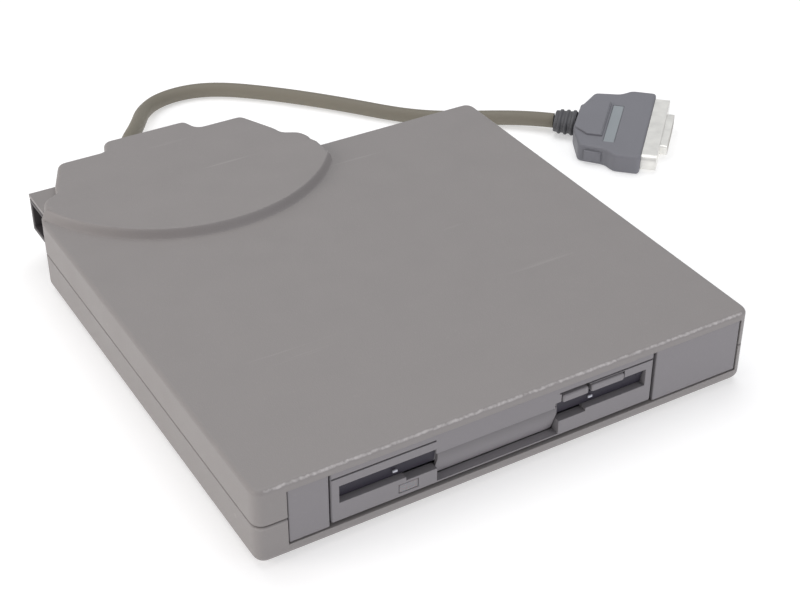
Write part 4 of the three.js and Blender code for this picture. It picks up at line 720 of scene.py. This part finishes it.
def add_gland():
    low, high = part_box("cable_gland")
    middle = (low.x + high.x) / 2
    height = (low.z + high.z) / 2
    flange = (high.x - low.x) / 2
    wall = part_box("upper_case")[1].y
    start, end = low.y, high.y
    root = flange * GLAND_ROOT
    tip = flange * GLAND_TIP
    step = flange * GLAND_FLANGE
    profile = [(0, 0), (flange, 0), (flange, step), (root, step), (root, wall - start)]
    profile += ribbed_profile(wall - start, end - wall - CAD_GAP, root, tip, GLAND_RIBS)
    profile += [(tip - RIB_GROOVE / 2, end - start - CAD_GAP / 2),
                (tip - RIB_GROOVE, end - start), (0, end - start)]
    turn = along((middle, start, height), (0, 1, 0))
    gland = add_piece("cable_gland_look", revolve(profile, turn, GLAND_SIDES), "gland", "case",
                      ["cable_gland"])
    return shade(gland, RIB_ANGLE)


def mirrored(side):
    """One side's points, and the same points on the other side of the plug's middle."""
    return side + [(x, -y) for x, y in reversed(side)]


def hood_outline():
    side = [
        (0, PLUG_HALF),
        (-PLUG_GRIP_START, PLUG_HALF),
        (-PLUG_GRIP_END, PLUG_HALF - PLUG_GRIP_DEPTH),
        (-PLUG_LENGTH, PLUG_BACK_HALF),
        (-PLUG_LENGTH - PLUG_TAPER_LENGTH, PLUG_TAPER_HALF),
    ]
    return rounded(mirrored(side), PLUG_FILLET)


def boss_outline():
    back = -PLUG_LENGTH - PLUG_TAPER_LENGTH
    side = [
        (back + BOSS_LENGTH, BOSS_HALF),
        (-PLUG_LENGTH + PLUG_FILLET, BOSS_HALF),
        (back, PLUG_TAPER_HALF),
    ]
    return drawn_in(rounded(mirrored(side), PLUG_FILLET / 2, steps=5), PLUG_EDGE / 3)


def rectangle(x0, x1, y0, y1, reach):
    return rounded([(x0, y0), (x1, y0), (x1, y1), (x0, y1)], reach, steps=5)


def add_hood():
    levels = fillet(0, PLUG_THICKNESS, PLUG_EDGE) + fillet(PLUG_THICKNESS, 0, PLUG_EDGE)[::-1]
    hood = add_piece("plug_hood_look", prism(hood_outline(), levels, plug_turn), "hood", None)
    boss_top = fillet(PLUG_THICKNESS + BOSS_RISE, 0, PLUG_EDGE / 2)[::-1]
    boss = prism(boss_outline(), [(0, PLUG_THICKNESS / 2)] + boss_top, plug_turn)
    carve(hood, boss, "UNION")
    pad_levels = (fillet(PAD_LOW, PLUG_THICKNESS, PAD_RISE / 2)
                  + fillet(PAD_HIGH, 0, PAD_RISE / 2)[::-1])
    for way in (-1, 1):
        near, far = sorted((
            way * (PLUG_BACK_HALF - PAD_RISE), way * (PLUG_BACK_HALF + PAD_RISE * 2)))
        pad = rectangle(-PAD_END, -PAD_START, near, far, PAD_RISE)
        carve(hood, prism(pad, pad_levels, plug_turn), "UNION")
    plate = prism(rectangle(-PLATE_END, -PLATE_START, PLATE_NEAR, PLATE_FAR, PLATE_DEPTH * 2),
                  [(0, PLUG_THICKNESS - PLATE_DEPTH), (0, PLUG_THICKNESS + OVERRUN)], plug_turn)
    carve(hood, plate)
    settle(hood, "case", ["plug_hood"])
    return shade(hood)


def add_plate():
    """The pale plate that lies in the recess on the plug's top."""
    spare = PLATE_DEPTH / 2
    outline = rectangle(-PLATE_END + spare, -PLATE_START - spare, PLATE_NEAR + spare,
                        PLATE_FAR - spare, PLATE_DEPTH)
    levels = [(0, PLUG_THICKNESS - PLATE_DEPTH), (0, PLUG_THICKNESS - PLATE_DEPTH / 3)]
    plate = add_piece("plug_plate", prism(outline, levels, plug_turn), "plate", "case")
    return shade(plate)


def add_plug_relief():
    end = PLUG_LENGTH + PLUG_TAPER_LENGTH
    flat = Matrix.Scale(RELIEF_RISE / RELIEF_HALF, 4, (0, 0, 1))
    rise = Matrix.Translation((0, 0, RELIEF_RISE))
    turn = plug_turn @ rise @ flat @ along((-end, 0, 0), (-1, 0, 0))
    inner = RELIEF_HALF - RIB_GROOVE
    profile = [(0, CAD_GAP / 3), (inner, CAD_GAP / 3)]
    profile += ribbed_profile(CAD_GAP, RELIEF_LENGTH - CAD_GAP, RELIEF_HALF,
                              RELIEF_HALF * RELIEF_TAPER, RELIEF_RIBS)
    profile += [(inner - RIB_GROOVE / 2, RELIEF_TIP), (0, RELIEF_TIP)]
    relief = add_piece("plug_relief_look", revolve(profile, turn, RELIEF_SIDES), "relief", "case",
                       ["plug_relief"])
    return shade(relief, RIB_ANGLE)


def facing(outline, x0, x1):
    """An outline in the plug's width and height, drawn out along its pointing way."""
    rings = [[(x, p.x, p.y) for p in outline] for x in (x0, x1)]
    return loft(rings, plug_turn)


def d_outline(half, rise, reach):
    """The connector's D: its lower side is shorter than its upper one."""
    middle = PLUG_THICKNESS / 2
    low_half = half - TONGUE_TAPER
    return rounded([(-half, middle + rise), (-low_half, middle - rise),
                    (low_half, middle - rise), (half, middle + rise)], reach)


def add_shell():
    middle = PLUG_THICKNESS / 2
    rise = SHELL_HEIGHT / 2
    flange = rounded([(-SHELL_HALF, middle - rise), (SHELL_HALF, middle - rise),
                      (SHELL_HALF, middle + rise), (-SHELL_HALF, middle + rise)], SHELL_CORNER)
    shell = add_piece("plug_shell_look", facing(flange, CAD_GAP / 6, SHELL_DEPTH), "shell", None)
    skirt = d_outline(TONGUE_HALF, TONGUE_HEIGHT / 2, TONGUE_CORNER)
    carve(shell, facing(skirt, SHELL_DEPTH - OVERRUN, TONGUE_DEPTH), "UNION")
    mouth = d_outline(TONGUE_HALF - SHELL_WALL, TONGUE_HEIGHT / 2 - SHELL_WALL, MOUTH_CORNER)
    carve(shell, facing(mouth, CAD_GAP * 3, TONGUE_DEPTH + OVERRUN))
    settle(shell, "case", ["plug_shell"])
    return shade(shell)


cable, cable_path, cable_length = add_cable()
gland = add_gland()
hood = add_hood()
plug_plate = add_plate()
plug_relief = add_plug_relief()
plug_shell = add_shell()
plug_insert = refined("plug_insert", "insert", "case", PLUG_INSERT_BEVEL, 1, "plug_contact")

# The case

CASE_BACK = 0.05515
SEAM = 0.013
SEAM_GAP = 0.0003
CASE_WALL = 0.002
CORNER_REACH = 0.0036
SHARP_CORNER_REACH = 0.0014
LEAST_CORNER_REACH = 0.0006
CORNER_REACHES = (CORNER_REACH, CORNER_REACH, CORNER_REACH, SHARP_CORNER_REACH)
CASE_ANGLE = 32
TOP_RADIUS = 0.0013
BASE_RADIUS = 0.0026
HOUSING_RADIUS = 0.0018
HOUSING_FILLET = 0.0022
HOUSING_MIDDLE = -0.0285
HOUSING_NECK = -0.003
HUMP_PLACE = (-0.0255, 0.0739)
HUMP_RADIUS = 0.0522
HUMP_SLOPE = 0.0018
HUMP_SIDE = -0.0744
HUMP_STEPS = 16
FLUSH_STEP = 0.00002
SEAM_CHAMFER = 0.00025
LIP_INSET = CASE_WALL + CAD_GAP / 6
LIP_INNER_INSET = CASE_WALL * 1.4
LIP_FRONT_END = CORNER_REACH * 3
LIP_BACK_END = CORNER_REACH * 7
POCKET_ROOF = CASE_WALL * 0.75

# Half of the housing's outline: half-widths, and places behind the case's back wall
HOUSING_HALF = (
    (0.0415, HOUSING_NECK), (0.0448, 0.001), (0.0432, 0.0062), (0.0381, 0.009), (0.0374, 0.0124),
    (0.0314, 0.0256), (0.0159, 0.0256), (0.014, 0.0317))

upper_low, upper_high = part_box("upper_case")
left, right, front, housing_end = upper_low.x, upper_high.x, upper_low.y, upper_high.y
base, hump_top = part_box("lower_case")[0].z, upper_high.z

# The front opening runs round the two blank panels, with the panels' own gap
PANEL_GAP = 0.0003
window_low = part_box("left_blank_panel")[0]
window_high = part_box("right_blank_panel")[1]


def case_outline(inset):
    points = [(left + inset, front + inset), (right - inset, front + inset),
              (right - inset, CASE_BACK - inset), (left + inset, CASE_BACK - inset)]
    reaches = [max(reach - inset, LEAST_CORNER_REACH) for reach in CORNER_REACHES]
    return rounded(points, reaches, steps=10)


def case_prism(levels):
    """A solid with the case's outline: each level has its inset and height."""
    return loft([[(p.x, p.y, z) for p in case_outline(inset)] for inset, z in levels])


def housing_outline(inset=0.0, neck=HOUSING_NECK):
    """The housing's outline, counter-clockwise. The neck is where it meets the case."""
    half = [(across - inset, reach - inset) for across, reach in HOUSING_HALF]
    half[0] = (half[0][0], neck)
    points = half + [(-across, reach) for across, reach in reversed(half)]
    points = [(HOUSING_MIDDLE + across, CASE_BACK + reach) for across, reach in points]
    return rounded(points, HOUSING_FILLET)


def top_levels(low, high, radius):
    """From a sharp lower end up to a rounded upper edge."""
    return [(SEAM_CHAMFER, low), (0, low + SEAM_CHAMFER)] + fillet(high, low, radius)[::-1]


def window_cut():
    z0 = window_low.z - PANEL_GAP
    z1 = window_high.z - PANEL_GAP / 2
    return box_solid((window_low.x - PANEL_GAP, front - OVERRUN, z0),
                     (window_high.x + PANEL_GAP, front + CASE_WALL + OVERRUN, z1))


def hump_solid():
    """The round hump: it rises in one soft curve from the case's top."""
    low, high = CASE_TOP, hump_top - FLUSH_STEP
    profile = [(0, low - CASE_WALL), (HUMP_RADIUS, low - CASE_WALL)]
    for k in range(HUMP_STEPS + 1):
        share = (1 - math.cos(math.pi * k / HUMP_STEPS)) / 2
        profile.append((HUMP_RADIUS - HUMP_SLOPE * k / HUMP_STEPS, low + (high - low) * share))
    profile.append((0, high))
    return revolve(profile, Matrix.Translation((*HUMP_PLACE, 0)), HUMP_SIDES)


def hump_limits():
    """Where the hump may be: not past the housing's sides, and rounded along them."""
    side = HOUSING_MIDDLE + HOUSING_HALF[1][0] + CAD_GAP
    back = CASE_BACK + OVERRUN
    outline = [Vector(p) for p in (
        (HUMP_SIDE, front), (side, front), (side, back - OVERRUN * 3),
        (side - OVERRUN, back), (HUMP_SIDE, back))]
    return prism(outline, [(0, base)] + fillet(hump_top + FLUSH_STEP, base, HOUSING_RADIUS)[::-1])


def gland_hole():
    low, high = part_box("cable_gland")
    radius = (high.x - low.x) / 2 * GLAND_ROOT + CAD_GAP
    place = ((low.x + high.x) / 2, housing_end - CASE_WALL * 2, (low.z + high.z) / 2)
    length = CASE_WALL * 2 + OVERRUN
    profile = [(0, 0), (radius, 0), (radius, length), (0, length)]
    return revolve(profile, along(place, (0, 1, 0)), GLAND_HOLE_SIDES)


def pocket_notch():
    low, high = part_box("pocket_frame")
    return box_solid((low.x - OVERRUN * 5, low.y - CAD_GAP, low.z - CAD_GAP),
                     (high.x + CAD_GAP, high.y + CAD_GAP, high.z + CAD_GAP))


def add_upper_case():
    low = SEAM + SEAM_GAP / 2
    outside = case_prism(top_levels(low, CASE_TOP, TOP_RADIUS))
    shell = add_piece("upper_case_look", outside, "case", None)
    hump = add_piece("hump", hump_solid(), "case", None)
    carve(hump, hump_limits(), "INTERSECT")
    carve(shell, melted(hump), "UNION")
    housing = prism(housing_outline(), top_levels(low, hump_top, HOUSING_RADIUS))
    carve(shell, housing, "UNION")
    carve(shell, case_prism([(CASE_WALL, low - OVERRUN), (CASE_WALL, CASE_TOP - CASE_WALL)]))
    inside = [(0, low - OVERRUN), (0, hump_top - CASE_WALL)]
    carve(shell, prism(housing_outline(CASE_WALL, 0.0), inside))
    carve(shell, window_cut())
    carve(shell, gland_hole())
    pocket_low, pocket_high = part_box("pocket_frame")
    roof = box_solid(
        (pocket_low.x, CASE_BACK - CASE_WALL / 2, pocket_high.z + CAD_GAP),
        (pocket_high.x + CASE_WALL * 2, pocket_high.y, pocket_high.z + POCKET_ROOF))
    carve(shell, roof, "UNION")
    carve(shell, pocket_notch())
    settle(shell, "case", ["upper_case"])
    return shade(shell, CASE_ANGLE)


def pit(node, spare, depth):
    """A round hole in the underside, for a foot or a screw's head."""
    low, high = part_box(node)
    radius = (high.x - low.x) / 2 + spare
    place = Matrix.Translation(((low.x + high.x) / 2, (low.y + high.y) / 2, base))
    profile = [(0, -OVERRUN), (radius, -OVERRUN), (radius, depth), (0, depth)]
    return revolve(profile, place, PIT_SIDES)


FOOT_RECESS = 0.0006
CASE_SCREW_HEAD = 0.0014
DRIVE_SCREW_HEAD = 0.001

# A foot's rounded edge and its hollow's inner ring, as shares of its radius. The hollow is
# FOOT_HOLLOW_RIM deep at that ring, and a share of the edge deep in its middle.
FOOT_EDGE = 0.16
FOOT_HOLLOW = 0.45
FOOT_HOLLOW_RIM = 0.00004
FOOT_HOLLOW_SHARE = 0.12
FOOT_STEPS = 5
FOOT_ANGLE = 40

# A screw's shares of its head's radius, its head's height and its shaft's radius
SCREW_SHAFT = 0.46
CROSS_LENGTH = 0.6
CROSS_WIDTH = 0.14
SCREW_EDGE = 0.35
CROSS_DEPTH = 0.6
SCREW_EDGE_TURN = 0.3
SCREW_POINT_LENGTH = 0.4
SCREW_POINT_RADIUS = 0.7

FEET = [f"rubber_foot_{n}" for n in range(1, 5)]
CASE_SCREWS = [f"case_screw_{n}" for n in range(1, 6)]
DRIVE_SCREWS = [f"drive_screw_{n}" for n in range(1, 5)]


def lip_solid():
    """The lip along both sides that keeps the upper shell in place."""
    lip = add_piece("lip", case_prism([
        (CASE_WALL - CAD_GAP / 2, SEAM - OVERRUN * 2),
        (LIP_INSET, SEAM - CAD_GAP),
        (LIP_INSET, SEAM + OVERRUN)]), "case", None)
    carve(lip, case_prism([
        (LIP_INNER_INSET, SEAM - OVERRUN * 3), (LIP_INNER_INSET, SEAM + OVERRUN * 2)]))
    kept = box_solid((left, front + LIP_FRONT_END, base),
                     (right, CASE_BACK - LIP_BACK_END, hump_top))
    carve(lip, kept, "INTERSECT")
    return melted(lip)


def add_lower_case():
    high = SEAM - SEAM_GAP / 2
    rim = [(0, high - SEAM_CHAMFER), (SEAM_CHAMFER, high)]
    outside = case_prism(fillet(base, high, BASE_RADIUS, steps=8) + rim)
    shell = add_piece("lower_case_look", outside, "case", None)
    carve(shell, prism(housing_outline(), fillet(base, high, HOUSING_RADIUS) + rim), "UNION")
    carve(shell, case_prism([(CASE_WALL, base + CASE_WALL), (CASE_WALL, high + OVERRUN)]))
    inside = [(0, base + CASE_WALL), (0, high + OVERRUN)]
    carve(shell, prism(housing_outline(CASE_WALL, 0.0), inside))
    carve(shell, lip_solid(), "UNION")
    carve(shell, window_cut())
    carve(shell, gland_hole())
    carve(shell, pocket_notch())
    for node in FEET:
        carve(shell, pit(node, CAD_GAP, FOOT_RECESS))
    for node in CASE_SCREWS:
        carve(shell, pit(node, CAD_GAP, CASE_SCREW_HEAD + CAD_GAP))
    for node in DRIVE_SCREWS:
        carve(shell, pit(node, CAD_GAP, DRIVE_SCREW_HEAD))
    settle(shell, "case", ["lower_case"])
    return shade(shell, CASE_ANGLE)


def add_foot(node):
    low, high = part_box(node)
    radius = (high.x - low.x) / 2
    height = high.z - low.z
    edge = radius * FOOT_EDGE
    profile = [(0, edge * FOOT_HOLLOW_SHARE), (radius * FOOT_HOLLOW, FOOT_HOLLOW_RIM),
               (radius - edge, 0)]
    profile += [(radius - edge + edge * math.sin(a), edge - edge * math.cos(a))
                for a in (math.pi / 2 * k / FOOT_STEPS for k in range(1, FOOT_STEPS + 1))]
    profile += [(radius, height), (0, height)]
    turn = Matrix.Translation(((low.x + high.x) / 2, (low.y + high.y) / 2, low.z))
    foot = add_piece(node + "_look", revolve(profile, turn, FOOT_SIDES), "rubber", "case",
                     [node])
    return shade(foot, FOOT_ANGLE)


def add_screw(node, head):
    """A pan-head screw with a cross recess."""
    low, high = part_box(node)
    radius = (high.x - low.x) / 2
    shaft = radius * SCREW_SHAFT
    length = high.z - low.z
    edge = head * SCREW_EDGE
    turn = edge * SCREW_EDGE_TURN
    profile = [
        (0, 0), (radius - edge, 0), (radius - turn, turn), (radius, edge), (radius, head),
        (shaft, head), (shaft, length - shaft * SCREW_POINT_LENGTH),
        (shaft * SCREW_POINT_RADIUS, length), (0, length)]
    middle = Vector(((low.x + high.x) / 2, (low.y + high.y) / 2, low.z))
    solid = revolve(profile, Matrix.Translation(middle), SCREW_SIDES)
    screw = add_piece(node + "_look", solid, "zinc", None)
    arm, half = radius * CROSS_LENGTH, radius * CROSS_WIDTH
    for across, deep in ((arm, half), (half, arm)):
        carve(screw, box_solid(
            (middle.x - across, middle.y - deep, low.z - OVERRUN),
            (middle.x + across, middle.y + deep, low.z + head * CROSS_DEPTH)))
    settle(screw, "case", [node])
    return shade(screw)


add_upper_case()
add_lower_case()
for foot_node in FEET:
    add_foot(foot_node)
for screw_node in CASE_SCREWS:
    add_screw(screw_node, CASE_SCREW_HEAD - CAD_GAP)
for screw_node in DRIVE_SCREWS:
    add_screw(screw_node, DRIVE_SCREW_HEAD / 2)

# The drive's front

PANEL_BEVEL = 0.0003
BEZEL_BEVEL = 0.00018
SMALL_BEVEL = 0.00012

# Node, look, body, bevel, its segments and the slot
FRONT_PIECES = (
    ("left_blank_panel", "front", "case", PANEL_BEVEL, 3, "front_plastic"),
    ("right_blank_panel", "front", "case", PANEL_BEVEL, 3, "front_plastic"),
    ("drive_bezel", "front", "case", BEZEL_BEVEL, 2, "front_plastic"),
    ("eject_button", "front", "slider", BEZEL_BEVEL, 2, "front_plastic"),
    ("dust_flap", "flap", "flap", SMALL_BEVEL, 2, "front_plastic"),
    ("activity_lens", "lens", "case", SMALL_BEVEL, 2, "lens_plastic"),
    ("pocket_frame", "black", "case", PANEL_BEVEL, 2, "pocket_plastic"),
)
for front_piece in FRONT_PIECES:
    refined(*front_piece)

# Two bright tabs of the disk guide show in the slot's upper edge
TAB_PLACES = ((-0.0363, 0.0141), (0.0228, 0.0142))
TAB_WIDTH = 0.0014
TAB_HEIGHT = 0.0007
TAB_DEPTH = 0.0009


def add_tab(n, x, z):
    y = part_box("drive_bezel")[0].y + TAB_DEPTH
    solid = box_solid((x - TAB_WIDTH / 2, y, z - TAB_HEIGHT / 2),
                      (x + TAB_WIDTH / 2, y + TAB_DEPTH / 2, z + TAB_HEIGHT / 2))
    tab = add_piece(f"guide_tab_{n}", solid, "tab", "case")
    return shade(tab, bevel=TAB_HEIGHT / 5)


for number, (tab_x, tab_z) in enumerate(TAB_PLACES, 1):
    add_tab(number, tab_x, tab_z)

# Looks of the inner pieces

inner_looks = {
    "steel": ("drive_chassis", "top_shield", "disk_carrier", "slider_plate", "shutter_lever",
              "spindle_rotor", "stepper_motor", "guide_rod", "flap_spring"),
    "copper": ("motor_stator",),
    "brass": ("spindle_bearing", "lead_screw"),
    "magnet": ("spindle_hub", "lower_head", "upper_head"),
    "board": ("motor_board", "drive_board", "interface_board"),
    "black": ("disk_sensors",),
    "white": ("drive_connector", "board_connector", "ribbon_cable", "head_carriage",
              "upper_head_arm"),
}
for look_name, node_names in inner_looks.items():
    for node_name in node_names:
        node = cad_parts[node_name]
        for index in range(max(1, len(node.material_slots))):
            if not node.material_slots:
                node.data.materials.append(looks[look_name])
            node.material_slots[index].material = looks[look_name]

# Floor and light

FLOOR_HALF = 3.0
WHITE_LIGHT = (1, 1, 1)
AMBIENT_COLOUR = (0.95, 0.97, 1.0, 1)
AMBIENT = 0.36

# Name, place, size, power and colour. Each light points at the frame's origin.
LIGHTS = (
    ("key", (-0.85, 0.05, 0.35), (0.7, 0.5), 3.6, (1, 0.93, 0.89)),
    ("top", (0.1, 0.25, 0.9), (0.9, 0.9), 5.0, WHITE_LIGHT),
    ("fill", (0.4, -0.9, 0.35), (0.9, 0.4), 2.6, (0.98, 0.95, 1)),
)


def add_floor():
    bm = bmesh.new()
    bm.faces.new([bm.verts.new((x * FLOOR_HALF, y * FLOOR_HALF, 0))
                  for x, y in ((-1, -1), (1, -1), (1, 1), (-1, 1))])
    mesh = bpy.data.meshes.new("floor")
    bm.to_mesh(mesh)
    bm.free()
    floor = bpy.data.objects.new("floor", mesh)
    floor.data.materials.append(looks["floor"])
    bpy.context.scene.collection.objects.link(floor)


def add_light(name, place, size, power, colour):
    data = bpy.data.lights.new(name, "AREA")
    data.shape = "RECTANGLE"
    data.size, data.size_y = size
    data.energy = power
    data.color = colour
    light = bpy.data.objects.new(name, data)
    turn = (-Vector(place)).to_track_quat("-Z", "Y")
    light.matrix_world = Matrix.Translation(Vector(place)) @ turn.to_matrix().to_4x4()
    bpy.context.scene.collection.objects.link(light)


def add_world():
    """White where the camera sees past everything, and a softer grey as light."""
    world = bpy.data.worlds.new("studio")
    bpy.context.scene.world = world
    world.use_nodes = True
    tree = world.node_tree
    tree.nodes.clear()
    paths = tree.nodes.new("ShaderNodeLightPath")
    seen = tree.nodes.new("ShaderNodeMath")
    seen.operation = "MAXIMUM"
    tree.links.new(paths.outputs["Is Camera Ray"], seen.inputs[0])
    tree.links.new(paths.outputs["Is Transmission Ray"], seen.inputs[1])
    mixed = tree.nodes.new("ShaderNodeMixShader")
    tree.links.new(seen.outputs[0], mixed.inputs[0])
    for socket, colour, strength in ((1, AMBIENT_COLOUR, AMBIENT), (2, (*WHITE_LIGHT, 1), 1.0)):
        glow = tree.nodes.new("ShaderNodeBackground")
        glow.inputs["Color"].default_value = colour
        glow.inputs["Strength"].default_value = strength
        tree.links.new(glow.outputs[0], mixed.inputs[socket])
    output = tree.nodes.new("ShaderNodeOutputWorld")
    tree.links.new(mixed.outputs[0], output.inputs[0])


add_floor()
for light_values in LIGHTS:
    add_light(*light_values)
add_world()
bpy.context.scene.view_settings.view_transform = "Standard"
